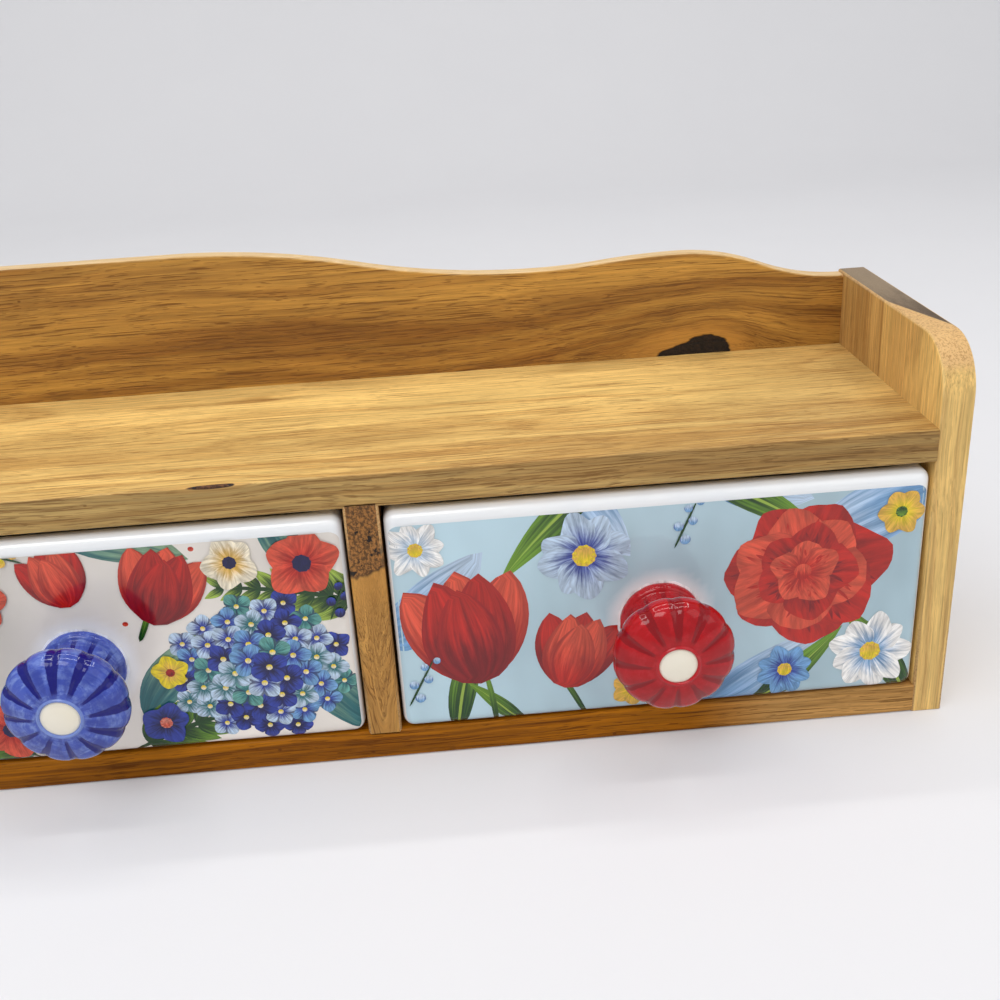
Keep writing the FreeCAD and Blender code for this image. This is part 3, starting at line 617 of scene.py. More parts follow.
def rubber():
    made, t, shader = new_material("washer_black_rubber")
    place = t.node("ShaderNodeTexCoord").outputs["Object"]
    dust = t.noise(place, 700.0, 4.0, 0.65)
    t.feed(shader["Base Color"], t.mix(t.span(dust, 0.45, 0.8), srgb(34, 33, 33), srgb(74, 72, 70)))
    t.feed(shader["Roughness"], t.span(dust, 0.3, 0.7, 0.62, 0.82))
    t.feed(shader["Normal"], bumped(t, dust, 0.00005, 0.6))
    return made


# ---- Modelling ----
def block(bm, low, high):
    """A box between two corners."""
    made = bmesh.ops.create_cube(bm, size=1.0)["verts"]
    size = [b - a for a, b in zip(low, high)]
    centre = [(a + b) / 2 for a, b in zip(low, high)]
    bmesh.ops.scale(bm, vec=size, verts=made)
    bmesh.ops.translate(bm, vec=centre, verts=made)


def round_edges(bm, edges, radius, segments):
    made = bmesh.ops.bevel(
        bm, geom=edges, offset=radius, offset_type="OFFSET", affect="EDGES", segments=segments,
        profile=0.5, material=-1, clamp_overlap=True,
    )
    return made["faces"]


def mark_edges(bm, faces):
    """Marks the middle of rounded edges in the attribute "edge", for the wear."""
    layer = bm.verts.layers.float.get("edge") or bm.verts.layers.float.new("edge")
    rounded = set(faces)
    for vert in bm.verts:
        if vert.link_faces and all(face in rounded for face in vert.link_faces):
            vert[layer] = 1.0


def add_object(bm, name, material, smooth=math.inf):
    """Makes a bmesh into an object of the scene. Faces smaller than smooth are shaded smooth."""
    for face in bm.faces:
        face.smooth = face.calc_area() < smooth
    mesh = bpy.data.meshes.new(name)
    bm.to_mesh(mesh)
    bm.free()
    mesh.materials.append(material)
    made = bpy.data.objects.new(name, mesh)
    bpy.context.scene.collection.objects.link(made)
    return made


def piece(bm, name, body, node, material, smooth=math.inf):
    """Finishes a bmesh as an object that rides on a body and may stand for a CAD node."""
    bmesh.ops.recalc_face_normals(bm, faces=bm.faces)
    made = add_object(bm, name, material, smooth)
    if node:
        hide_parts(node)
    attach(made, body)


def moved_verts(made):
    """The vertices among what an operator made."""
    return [part for part in made["geom"] if isinstance(part, bmesh.types.BMVert)]


def level(edge, axis, value):
    """True if an edge lies at one value of an axis."""
    return all(abs(vert.co[axis] - value) < 1e-5 for vert in edge.verts)


ARRIS_STEPS = 3
# faces that are larger than this, in square metres, stay flat
BOARD_FACE, CREST_FACE, DRAWER_FACE = 1.5e-4, 8e-6, 1.5e-3


def oiled_board(name, node, low, high, material, open_edge):
    """A straight board whose open edges are rounded."""
    bm = bmesh.new()
    block(bm, low, high)
    radius = bpy.context.scene.cabinet_wood.arris
    mark_edges(bm, round_edges(bm, [e for e in bm.edges if open_edge(e)], radius, ARRIS_STEPS))
    piece(bm, name, "case", node, material, BOARD_FACE)


def ogee_height(x, start, finish):
    """Height at x on two equal arcs that run level out of start and into finish."""
    run, rise = finish[0] - start[0], finish[1] - start[1]
    radius = (run * run + rise * rise) / (4 * abs(rise))
    sign = math.copysign(1.0, rise)
    if x - start[0] < run / 2:
        return start[1] + sign * (radius - math.sqrt(radius**2 - (x - start[0]) ** 2))
    return finish[1] - sign * (radius - math.sqrt(radius**2 - (finish[0] - x) ** 2))


# where the back board's top edge runs level, as distances from the middle and heights, in metres:
# the end of the centre's flat crest, a trough, a lower crest and the end
WAVE = ((0.026, 0.1393), (0.142, 0.1264), (0.191, 0.1289), (0.247, 0.1178))


def wave_height(x):
    """Height of the back board's top edge, the same on both sides of the middle."""
    x = abs(x)
    if x <= WAVE[0][0]:
        return WAVE[0][1]
    for start, finish in zip(WAVE, WAVE[1:]):
        if x <= finish[0]:
            return ogee_height(x, start, finish)
    return WAVE[-1][1]


# the knob's form: radii, and heights above its back, in millimetres
FOOT_RADIUS, FOOT_ROUND, FOOT_HEIGHT = 12.2, 1.8, 1.4
WAIST_RADIUS, WAIST_HEIGHT = 9.4, 9.0
HEAD_RADIUS, HEAD_ROUND, HEAD_HEIGHT = 17.3, 5.0, 19.7
FACE_RADIUS, FACE_HEIGHT = 6.5, 26.45
BUTTON_RADIUS, BUTTON_HEIGHT, BUTTON_FLATNESS = 5.4, 26.15, 0.16
FOOT_EDGE = ((0.0, 0.0), (8.0, 0.0), (11.6, 0.0), (12.1, 0.3), (FOOT_RADIUS, 0.8),
             (FOOT_RADIUS, FOOT_HEIGHT))
# the raised ring and, on the axis under the button, the end of the skin
RING = ((6.25, 26.55), (6.1, 26.85), (5.85, 27.0), (5.6, 26.9), (5.42, 26.6), (5.3, 26.2))
RING_INSIDE = (0.0, 26.0)


def knob_profile():
    """The knob's side view, from its back over the ring to the axis, as (radius, height)."""
    points = list(FOOT_EDGE)

    def arc(centre, radius, first, last, steps):
        for k in range(1, steps + 1):
            a = math.radians(first + (last - first) * k / steps)
            points.append((centre[0] + radius * math.cos(a), centre[1] + radius * math.sin(a)))

    def run(radius, height, steps, ease_radius, ease_height):
        """From the last point to another, with an easing for each of its two values."""
        wide, high = points[-1]
        for k in range(1, steps + 1):
            out, up = ease_radius(k / steps), ease_height(k / steps)
            points.append((wide + (radius - wide) * out, high + (height - high) * up))

    def even(share):
        return share

    arc((FOOT_RADIUS - FOOT_ROUND, FOOT_HEIGHT), FOOT_ROUND, 0, 82, 6)
    run(WAIST_RADIUS, WAIST_HEIGHT, 6, lambda share: share * share * (3 - 2 * share), even)
    # two equal arcs flare from the waist to the rim
    flare, rise = HEAD_RADIUS - WAIST_RADIUS, HEAD_HEIGHT - WAIST_HEIGHT
    bend = (flare**2 + rise**2) / (4 * flare)
    swing = math.degrees(math.asin(rise / (2 * bend)))
    arc((WAIST_RADIUS + bend, WAIST_HEIGHT), bend, 180, 180 - swing, 6)
    arc((HEAD_RADIUS - bend, HEAD_HEIGHT), bend, -swing, 0, 6)
    arc((HEAD_RADIUS - HEAD_ROUND, HEAD_HEIGHT), HEAD_ROUND, 0, 60, 9)
    run(FACE_RADIUS, FACE_HEIGHT, 12, even, lambda share: math.sin(share * math.pi / 2))
    return points + [*RING, RING_INSIDE]


# ---- Painting ----
RED, CRIMSON, CORAL = srgb(182, 30, 18), srgb(128, 10, 16), srgb(214, 80, 54)
PINK, NAVY, COBALT = srgb(226, 138, 116), srgb(18, 18, 70), srgb(44, 62, 156)
SKY, PALE, WHITE = srgb(112, 160, 206), srgb(186, 206, 226), srgb(240, 238, 234)
TEAL, DEEP_TEAL, MUSTARD = srgb(96, 160, 150), srgb(34, 104, 110), srgb(224, 176, 72)
YELLOW, GREEN, DARK_GREEN = srgb(232, 206, 24), srgb(104, 146, 36), srgb(24, 66, 22)
LIME, SAGE, CREAM = srgb(164, 190, 74), srgb(130, 160, 128), srgb(238, 226, 200)
HALO = srgb(252, 252, 252)
# sets of tones for strokes: at the root, at the tip and along the outline and rib
FERN, LIME_FERN = (DARK_GREEN, GREEN, DARK_GREEN), (DARK_GREEN, LIME, DARK_GREEN)
INK, BLUE, BLUEBELL = (NAVY, COBALT, NAVY), (COBALT, SKY, NAVY), (SKY, PALE, COBALT)
SCARLET, POPPY = (CRIMSON, RED, CRIMSON), (RED, CORAL, CRIMSON)
BRICK, BLUSH = (CRIMSON, CORAL, CRIMSON), (RED, PINK, CRIMSON)
GOLD, STRAW, LAGOON = (MUSTARD, YELLOW, MUSTARD), (MUSTARD, CREAM, MUSTARD), (DEEP_TEAL, TEAL, NAVY)
# sets of two, for stalks and the hearts of flowers
STALK, AMBER, LEMON = (DARK_GREEN, GREEN), (MUSTARD, YELLOW), (YELLOW, MUSTARD)
SALMON, MIDNIGHT, MOSS = (CORAL, PINK), (NAVY, NAVY), (GREEN, DARK_GREEN)
GOLDEN_ANGLE = 2.39996


def ways(angle):
    """The directions along an angle in degrees and to its left."""
    turn = math.radians(angle)
    return Vector((math.cos(turn), math.sin(turn))), Vector((-math.sin(turn), math.cos(turn)))


class Painting:
    """Brush strokes on one drawer's face. Places are in millimetres: x from the face's middle,
    z from the drawer's foot. Each stroke lies a little above the one before."""

    STEP = 0.0008

    def __init__(self, seed):
        self.bm = bmesh.new()
        layers = self.bm.verts.layers
        self.tones = [layers.float_color.new(n) for n in ("root_tone", "tip_tone", "line_tone")]
        self.stroke_layer = layers.float_vector.new("stroke")
        self.outline_layer = layers.float.new("outline")
        self.rib_layer = layers.float.new("rib")
        self.chance = random.Random(seed)
        self.lift = 0.0

    def tint(self, verts, places, tones, outline=0.0, rib=0.0):
        """Writes what the painted glaze's shader reads, and lays the stroke on top."""
        seed = self.chance.random()
        root, tip, line = tones if len(tones) == 3 else (*tones, tones[0])
        for vert, (across, along) in zip(verts, places):
            for layer, tone in zip(self.tones, (root, tip, line)):
                vert[layer] = tone
            vert[self.stroke_layer] = (across, along, seed)
            vert[self.outline_layer] = outline
            vert[self.rib_layer] = rib
            vert.co.y = self.lift
        self.lift += self.STEP

    def petal(self, x, z, angle, reach, width, tones, fullness=1.0, blunt=0.7, bend=0.0, ruffle=0.0,
              outline=0.0, rib=0.0, dome=0.0):
        """A petal or leaf that grows from (x, z). fullness below 1 widens its root, above 1 its
        tip; blunt below 1 rounds its ends, and dome rounds a broad tip; bend curves it and ruffle
        waves its outline."""
        verts = bmesh.ops.create_grid(self.bm, x_segments=10, y_segments=12, size=1.0)["verts"]
        places = [(vert.co.x, (vert.co.y + 1) / 2) for vert in verts]
        along_way, side_way = ways(angle)
        swing = math.pi / 2 if dome else math.pi
        wave = self.chance.uniform(0, 6.28)
        for vert, (across, along) in zip(verts, places):
            half = width / 2 * max(math.sin(swing * along**fullness), 0.0) ** blunt
            half *= 1 + ruffle * math.sin(along * 9 + wave + across)
            lean = bend * reach * along * along
            frill = 0.0
            if dome:
                frill = ruffle * (math.sin(across * 4 + wave) + 0.5 * math.sin(across * 9 - wave))
            tip = reach * along * (1 + 0.5 * frill - 0.85 * dome * across * across)
            spot = Vector((x, z)) + along_way * tip + side_way * (lean - across * half)
            vert.co = (spot.x, 0.0, spot.y)
        self.tint(verts, places, tones, outline, rib)

    def dot(self, x, z, radius, tones, squash=1.0, outline=0.0):
        verts = bmesh.ops.create_circle(self.bm, cap_ends=True, segments=18, radius=radius)["verts"]
        places = [(vert.co.x / radius, 0.5 + vert.co.y / radius / 2) for vert in verts]
        for vert in verts:
            vert.co = (x + vert.co.x, 0.0, z + vert.co.y * squash)
        self.tint(verts, places, tones, outline)

    def stem(self, x, z, angle, reach, width, tones, bend=0.0):
        self.petal(x, z, angle, reach, width, tones, fullness=0.8, blunt=0.35, bend=bend)

    def leaves(self, spots, slimness, tones, fullness, rib):
        """Long leaves with a rib, each from (x, z, angle, reach, bend)."""
        for x, z, angle, reach, bend in spots:
            self.petal(x, z, angle, reach, reach * slimness, tones, fullness, 0.9, bend, rib=rib)

    def jitter(self, amount):
        return self.chance.uniform(-amount, amount)

    def daisy(self, x, z, radius, count, tones, heart, width=0.62, turn=0.0):
        """A ring of petals round a heart with a seeded rim."""
        for k in range(count):
            angle = turn + 360 * k / count + self.jitter(5)
            reach = radius * (1 + self.jitter(0.09))
            self.petal(x, z, angle, reach, radius * width, tones, fullness=0.9, blunt=1.0,
                       bend=self.jitter(0.08), ruffle=0.03, dome=0.5)
        self.dot(x, z, radius * 0.24, heart)
        for k in range(9):
            a = math.radians(40 * k + self.jitter(12))
            self.dot(x + radius * 0.2 * math.cos(a), z + radius * 0.2 * math.sin(a),
                     radius * 0.055, (heart[1], heart[0]))

    def rosette(self, x, z, radius, rings, turn=0.0):
        """A full bloom of broad ruffled petals, ring within ring. rings lists the tones from
        the outside in."""
        count = 7
        for index, tones in enumerate(rings):
            size = radius * (1 - 0.78 * index / len(rings))
            for k in range(count):
                angle = turn + 27 * index + 360 * k / count + self.jitter(9)
                reach = size * (0.96 + self.jitter(0.1))
                self.petal(x, z, angle, reach, reach * 0.98, tones, fullness=0.9, blunt=0.9,
                           bend=self.jitter(0.06), ruffle=0.05, outline=0.25, dome=0.46)
                for _ in range(6):
                    self.vein(x, z, angle, reach, tones)
            count = max(count - 1, 5)
        self.dot(x, z, radius * 0.1, rings[-1][:2])

    def vein(self, x, z, angle, reach, tones):
        """A short fine stroke on a petal that grows from (x, z)."""
        spread = self.jitter(17)
        way = math.radians(angle + spread)
        start = reach * self.chance.uniform(0.35, 0.6)
        tone = tones[self.chance.randrange(2)]
        size = reach * self.chance.uniform(0.16, 0.34)
        self.petal(x + start * math.cos(way), z + start * math.sin(way), angle + spread * 1.3, size,
                   reach * 0.05, (tone, tones[0]), blunt=0.9, bend=self.jitter(0.3))

    def tulip(self, x, z, angle, size, tones, inner):
        """A cup of five petals seen from the side, growing from (x, z)."""
        for spread in (-24, 24, 0):
            self.petal(x, z, angle + spread, size * 1.02, size * 0.5, inner, ruffle=0.02,
                       outline=0.5)
        for spread, height, bend in ((-17, 0.97, 0.12), (17, 0.97, -0.12), (1, 0.86, 0.0)):
            self.petal(x, z, angle + spread, size * height, size * 0.52, tones, fullness=0.85,
                       bend=bend, ruffle=0.03, outline=0.5)

    def globe(self, x, z, radius, count, palette, hearts):
        """A ball of four-petalled florets, darker towards its edge."""
        spots = []
        for k in range(count):
            reach = radius * math.sqrt((k + 0.5) / count)
            a = k * GOLDEN_ANGLE
            spots.append((reach, x + reach * math.cos(a), z + reach * math.sin(a) * 0.92))
        for reach, fx, fz in sorted(spots, reverse=True):
            size = radius * (0.24 - 0.06 * reach / radius)
            tones = palette[self.chance.randrange(len(palette))]
            turn = self.chance.uniform(0, 90)
            for k in range(4):
                self.petal(fx, fz, turn + 90 * k + self.jitter(6), size, size * 0.98, tones,
                           fullness=0.9, blunt=0.9, ruffle=0.02, outline=0.75, dome=0.46)
            self.dot(fx, fz, size * 0.16, hearts)

    def frond(self, x, z, angle, reach, leaf, tones, bend=0.0, pairs=7):
        """A curved stem with pairs of leaflets."""
        along_way, side_way = ways(angle)
        self.stem(x, z, angle, reach, reach * 0.035, (tones[0], tones[0]), bend)
        for k in range(pairs):
            share = 0.14 + 0.8 * k / (pairs - 1)
            spot = Vector((x, z)) + along_way * reach * share + side_way * bend * reach * share**2
            heading = angle + math.degrees(math.atan(2 * bend * share))
            size = leaf * (1.05 - 0.62 * share)
            for side in (-1, 1):
                self.petal(spot.x, spot.y, heading + side * (52 - 14 * share), size, size * 0.42,
                           tones, fullness=0.8, blunt=0.9, bend=-side * 0.12, rib=0.35)

    def sprig(self, x, z, angle, reach, berry, tones, count=6):
        """A thin stalk with berries left and right of it."""
        turn = math.radians(angle)
        self.stem(x, z, angle, reach, 0.7, (DARK_GREEN, DARK_GREEN))
        for k in range(count):
            share = (k + 1.2) / (count + 0.2)
            side = berry * 1.25 * (1 if k % 2 else -1) * (1.1 - 0.5 * share)
            bx = x + reach * share * math.cos(turn) - side * math.sin(turn)
            bz = z + reach * share * math.sin(turn) + side * math.cos(turn)
            self.dot(bx, bz, berry * (1.1 - 0.35 * share), tones, outline=0.6)

    def scatter(self, spots, tones, radius):
        for x, z in spots:
            self.dot(x, z, radius * (1 + self.jitter(0.3)), tones, 0.9)


def paint_left(art):
    """Coral blooms, mustard daisies and navy leaves."""
    spots = ((-30, 66), (20, 66), (26, 50), (70, 12), (-72, 12), (14, 62))
    art.scatter(spots, (CREAM, WHITE), 1.0)
    spots = ((-80, 8, 40, 40, 0.18), (70, 76, 214, 42, 0.18),
             (-20, 76, 250, 30, 0.18), (30, 0, 62, 34, 0.18))
    art.leaves(spots, 0.36, (SAGE, TEAL, DEEP_TEAL), 0.85, 0.5)
    art.frond(-66, 74, -52, 46, 13, INK, 0.14)
    art.frond(78, 4, 146, 48, 13, FERN, -0.16)
    art.frond(14, 2, 66, 32, 9, INK, -0.1, 6)
    art.rosette(-47, 28, 22, (BRICK, BLUSH, BRICK, BLUSH))
    art.rosette(48, 48, 19, (POPPY, (CORAL, PINK, RED), POPPY), 20)
    art.daisy(-16, 58, 11, 11, GOLD, (DARK_GREEN, NAVY))
    art.daisy(38, 16, 12, 12, STRAW, (RED, CRIMSON), 0.5)
    art.daisy(-70, 62, 9, 9, (WHITE, CREAM, TEAL), AMBER, 0.55)
    art.sprig(-22, 4, 42, 18, 1.7, (CORAL, RED, CRIMSON))
    art.sprig(64, 22, 76, 20, 1.6, INK)


def paint_middle(art):
    """A blue flower globe, red tulips, coral stars and ferns."""
    spots = ((36, 66), (76, 44), (33, 54), (-8, 4), (-40, 66), (56, 70), (14, 44))
    art.scatter(spots, (CORAL, RED), 1.1)
    spots = ((-8, 80, -16, 46, -0.1), (82, 0, 120, 40, 0.2), (-84, 44, 12, 34, 0.1),
             (14, 12, 58, 36, -0.12), (-40, -4, 30, 34, 0.1), (56, 78, -70, 30, 0.1))
    art.leaves(spots, 0.36, (DEEP_TEAL, SAGE, DEEP_TEAL), 0.85, 0.5)
    art.frond(8, 0, 28, 46, 15, FERN, -0.2, 8)
    art.frond(84, 44, 160, 44, 14, LIME_FERN, 0.14, 8)
    art.frond(-18, 0, 132, 46, 15, FERN, 0.18, 8)
    art.frond(-84, 74, -34, 40, 12, LAGOON, -0.12)
    blues = (BLUE, INK, (COBALT, PALE, NAVY), LAGOON, INK, (DEEP_TEAL, PALE, DEEP_TEAL))
    art.globe(50, 26, 25, 48, blues, (CREAM, YELLOW))
    art.stem(17, 38, 62, 14, 1.8, STALK, 0.1)
    art.tulip(22, 43, 72, 25, SCARLET, POPPY)
    art.tulip(0, 51, 106, 19, POPPY, SCARLET)
    art.rosette(-51, 34, 25, (INK, BLUE, (TEAL, PALE, DEEP_TEAL), BLUE, INK), 8)
    art.daisy(66, 59, 11, 5, POPPY, MIDNIGHT, 1.0, 12)
    art.daisy(46, 61, 8, 5, STRAW, MIDNIGHT, 1.0, 40)
    art.daisy(-25, 12, 10, 5, POPPY, MIDNIGHT, 1.0, 70)
    art.daisy(-26, 55, 10, 6, POPPY, AMBER, 0.85, 10)
    art.daisy(20, 10, 7.5, 5, INK, SALMON, 1.0, 5)
    art.daisy(24, 27, 5.5, 5, GOLD, (CRIMSON, RED), 1.0, 30)
    art.daisy(-73, 10, 8, 5, INK, SALMON, 1.0, 30)
    art.sprig(72, 40, 66, 14, 1.5, INK, 5)
    art.sprig(-10, 66, 160, 14, 1.5, GOLD, 5)


def paint_right(art):
    """Red tulips and a red bloom among bluebells, white daisies and long leaves."""
    spots = ((-84, 28, 34, 44, 17), (84, 68, 196, 50, 20), (8, -6, 26, 52, 17),
             (-30, 82, -62, 36, 15), (12, 78, -28, 34, 14))
    for spot in spots:
        art.petal(*spot, BLUEBELL, fullness=0.9, blunt=0.75, bend=0.14, ruffle=0.02)
    spots = ((-14, 80, -142, 46, 0.12), (-62, -4, 86, 42, -0.2), (10, 76, -22, 44, -0.14),
             (78, -6, 114, 44, 0.16), (26, -4, 38, 40, 0.1), (-40, -4, 128, 26, 0.1))
    art.leaves(spots, 0.2, (DARK_GREEN, GREEN, LIME), 0.8, 0.8)
    art.stem(-22, -2, 112, 28, 1.8, STALK, 0.1)
    art.stem(-50, -2, 92, 22, 1.8, STALK, 0.1)
    art.tulip(-54, 14, 98, 38, SCARLET, POPPY)
    art.tulip(-29, 10, 74, 26, POPPY, SCARLET)
    art.rosette(42, 43, 26, (SCARLET, POPPY, SCARLET, POPPY), 12)
    art.daisy(-22, 54, 14, 8, (COBALT, PALE, SKY), LEMON, 0.75, 15)
    art.daisy(64, 14, 13, 9, (SKY, WHITE, COBALT), LEMON, 0.66)
    art.daisy(38, 10, 9, 8, BLUE, LEMON, 0.7, 22)
    art.daisy(-70, 60, 9, 8, (PALE, WHITE, SKY), LEMON, 0.66, 10)
    art.daisy(70, 60, 7, 6, (YELLOW, MUSTARD, YELLOW), MOSS, 0.9)
    art.daisy(-8, 8, 6.5, 6, (YELLOW, MUSTARD, YELLOW), MOSS, 0.9, 30)
    art.sprig(4, 54, 66, 16, 1.5, BLUEBELL, 5)
    art.sprig(-76, 8, 62, 18, 1.5, BLUEBELL, 5)


PAINTERS = {"left": paint_left, "middle": paint_middle, "right": paint_right}


def cut(bm, point, normal, clear_outer=False):
    """Cuts faces along a plane, and may clear what lies beyond it."""
    everything = bm.verts[:] + bm.edges[:] + bm.faces[:]
    bmesh.ops.bisect_plane(bm, geom=everything, plane_co=point, plane_no=normal,
                           clear_outer=clear_outer)


def stand_out(bm, foot):
    """Turns what was made upright, to point out of a drawer's front, and moves it there."""
    turn = Matrix.Rotation(math.radians(90), 3, "X")
    bmesh.ops.rotate(bm, cent=(0, 0, 0), matrix=turn, verts=bm.verts)
    bmesh.ops.translate(bm, vec=foot, verts=bm.verts)


# ---- Operators ----
class MakeLevelBoards(bpy.types.Operator):
    """The base board and the shelf, whose ends go into the side panels"""

    bl_idname = "cabinet.make_level_boards"
    bl_label = "Base and Shelf"

    def execute(self, context):
        wood = context.scene.cabinet_wood
        inner = BACK_HIGH[0] + 0.2 * MM

        def front_edge(edge):
            start, end = (vert.co.x for vert in edge.verts)
            return level(edge, 1, BASE_LOW[1]) and abs(start - end) > inner

        blemish = ((47.3, -45.5, 94.2), 1.0, (0.26, 1.0, 1.0), srgb(78, 50, 28))
        # painted shade: front darkens the shelf's forward face, and change darkens the shelf
        # towards its right end
        shelf = wood_material("shelf_wood", wood.shelf_light, wood.shelf_dark, "X", (0, 30, -70),
                              3.4, (310, 0, 0), blemish, front=1.0,
                              change=(130, 270, (0.80, 0.78, 0.76)))
        # painted light: change lightens and pales the base towards its right end
        base = wood_material("base_wood", wood.base_light, wood.base_dark, "X", (0, -10, 90), 4.0,
                             (2200, 7, 3), change=(175, 208, (1.26, 2.0, 50.0)), sheen=0.15)
        for name, node, low, high, material in (
            ("shelf", "top_shelf", SHELF_LOW, SHELF_HIGH, shelf),
            ("base", "base_board", BASE_LOW, BASE_HIGH, base),
        ):
            low, high = (-inner, *low[1:]), (inner, *high[1:])
            oiled_board(name, node, low, high, material, front_edge)
        return {"FINISHED"}


class MakeDividers(bpy.types.Operator):
    """The two upright boards between the drawers"""

    bl_idname = "cabinet.make_dividers"
    bl_label = "Dividers"

    def execute(self, context):
        wood = context.scene.cabinet_wood
        burr = ((78, -44, 84), 9.0, (1.33, 0.4, 0.3), tuple(wood.burr))
        for name, knot, shift in (("left", NO_KNOT, 900), ("right", burr, 0)):
            low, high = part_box(f"{name}_divider")
            low, high = (*low[:2], BASE_HIGH[2] - MM), (*high[:2], SHELF_LOW[2] + MM)
            material = wood_material(f"{name}_divider_wood", wood.divider_light, wood.divider_dark,
                                     "Z", (0, 40, 10), 2.8, (shift, 0, 0), knot)

            def front_edge(edge):
                start, end = (vert.co.z for vert in edge.verts)
                return level(edge, 1, low[1]) and abs(start - end) > MM

            oiled_board(f"{name}_divider_board", f"{name}_divider", low, high, material, front_edge)
        return {"FINISHED"}


class MakeSidePanels(bpy.types.Operator):
    """The two ends of the case, each with a rounded front top corner"""

    bl_idname = "cabinet.make_side_panels"
    bl_label = "Side Panels"

    def execute(self, context):
        wood = context.scene.cabinet_wood
        for name, shift in (("left", 1700), ("right", 400)):
            low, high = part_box(f"{name}_side_panel")
            bm = bmesh.new()
            block(bm, low, high)
            corner = [e for e in bm.edges if level(e, 1, low[1]) and level(e, 2, high[2])]
            round_edges(bm, corner, wood.side_corner, 16)
            faces = [f for f in bm.faces if len(f.verts) > 8]
            outline = {e for f in faces for e in f.edges if not level(e, 2, low[2])}
            mark_edges(bm, round_edges(bm, list(outline), wood.arris, ARRIS_STEPS))
            # front paints shade on the panels' forward faces
            material = wood_material(
                f"{name}_side_wood", wood.side_light, wood.side_dark, "Z", (0, 20, 60), 3.6,
                (shift, 0, 0), front=0.35, stripes=4.0, pores=0.5,
            )
            piece(bm, f"{name}_side_board", "case", f"{name}_side_panel", material,
                  BOARD_FACE)
        return {"FINISHED"}


class MakeBackBoard(bpy.types.Operator):
    """The back board with its wavy top edge"""

    bl_idname = "cabinet.make_back_board"
    bl_label = "Back Board"

    def execute(self, context):
        wood = context.scene.cabinet_wood
        bm = bmesh.new()
        verts = bmesh.ops.create_grid(bm, x_segments=247, y_segments=1, size=1.0)["verts"]
        for vert in verts:
            x = vert.co.x * BACK_HIGH[0]
            z = wave_height(x) if vert.co.y > 0 else BACK_LOW[2]
            vert.co = (x, BACK_LOW[1], z)
        back = moved_verts(bmesh.ops.extrude_face_region(bm, geom=bm.faces[:]))
        bmesh.ops.translate(bm, vec=(0, BACK_HIGH[1] - BACK_LOW[1], 0), verts=back)
        bmesh.ops.recalc_face_normals(bm, faces=bm.faces)
        bm.normal_update()

        def on_crest(edge):
            flat = level(edge, 1, BACK_LOW[1]) or level(edge, 1, BACK_HIGH[1])
            return flat and min(v.co.z for v in edge.verts) > SHELF_HIGH[2] + MM

        crest = [edge for edge in bm.edges if on_crest(edge)]
        mark_edges(bm, round_edges(bm, crest, wood.arris, ARRIS_STEPS))
        knot = ((200.8, 39, 94.0), 6.2, (0.79, 1.0, 1.0), None)
        # crest paints a highlight on the board's faces that look up
        material = wood_material("back_wood", wood.back_light, wood.back_dark, "X", (0, 120, 60),
                                 5.5, knot=knot, crest=0.8)
        piece(bm, "wavy_back_board", "case", "back_board", material, CREST_FACE)
        return {"FINISHED"}


def hollow_out(bm, low, high, glaze):
    """Insets the top face to a drawer's walls, sinks it to the floor and rounds the hollow."""
    inner_low = (low[0] + glaze.wall, low[1] + glaze.front_wall)
    inner_high = (high[0] - glaze.wall, high[1] - glaze.wall)
    bm.faces.ensure_lookup_table()
    top = max(bm.faces, key=lambda f: f.calc_center_median().z * (f.calc_area() > 5e-3))
    bmesh.ops.inset_individual(bm, faces=[top], thickness=2 * MM)
    middle = top.calc_center_median()
    for vert in top.verts:
        vert.co.x = inner_low[0] if vert.co.x < middle.x else inner_high[0]
        vert.co.y = inner_low[1] if vert.co.y < middle.y else inner_high[1]
    sunk = bmesh.ops.extrude_face_region(bm, geom=[top])
    bmesh.ops.delete(bm, geom=[top], context="FACES_ONLY")
    bmesh.ops.translate(bm, vec=(0, 0, low[2] + glaze.floor - high[2]), verts=moved_verts(sunk))
    floor = next(f for f in sunk["geom"] if isinstance(f, bmesh.types.BMFace))
    uprights = [e for v in floor.verts for e in v.link_edges if e not in floor.edges[:]]
    round_edges(bm, uprights + list(floor.edges), glaze.inner_corner, 6)

    def on_rim(edge):
        slack = 0.1 * MM
        inside = all(
            inner_low[axis] - slack < vert.co[axis] < inner_high[axis] + slack
            for vert in edge.verts for axis in (0, 1)
        )
        steep = any(abs(f.normal.z) < 0.5 for f in edge.link_faces)
        return level(edge, 2, high[2]) and inside and steep

    round_edges(bm, [e for e in bm.edges if on_rim(e)], glaze.rim, 4)


class MakeDrawers(bpy.types.Operator):
    """The three glazed drawers"""

    bl_idname = "cabinet.make_drawers"
    bl_label = "Drawers"

    def execute(self, context):
        glaze = context.scene.cabinet_glaze
        material = white_glaze(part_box("drawer_left")[0][2])
        for name in PLACES:
            low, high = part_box(f"drawer_{name}")
            bm = bmesh.new()
            block(bm, low, high)
            soft = [e for e in bm.edges if not level(e, 1, high[1])]
            round_edges(bm, soft, glaze.corner, 7)
            back = max(bm.faces, key=lambda f: f.calc_center_median().y * (f.calc_area() > 1e-3))
            round_edges(bm, list(back.edges), glaze.back_arris, 4)
            hollow_out(bm, low, high, glaze)
            piece(bm, f"{name}_drawer_box", f"{name}_drawer", f"drawer_{name}",
                  material, DRAWER_FACE)
        return {"FINISHED"}


# in millimetres: the radius inside which the ground fades into a painted white reflection round
# the knob, the width of that fade, and the radius of the white patch under the knob
REFLECTION_RADIUS, REFLECTION_WIDTH, HALO_RADIUS = 16.5, 3.9, 12.9
# the painting's rounded corners, and how far it lies off the drawer's face
PAINTING_CORNER, PAINTING_LIFT = 3.0, 0.03


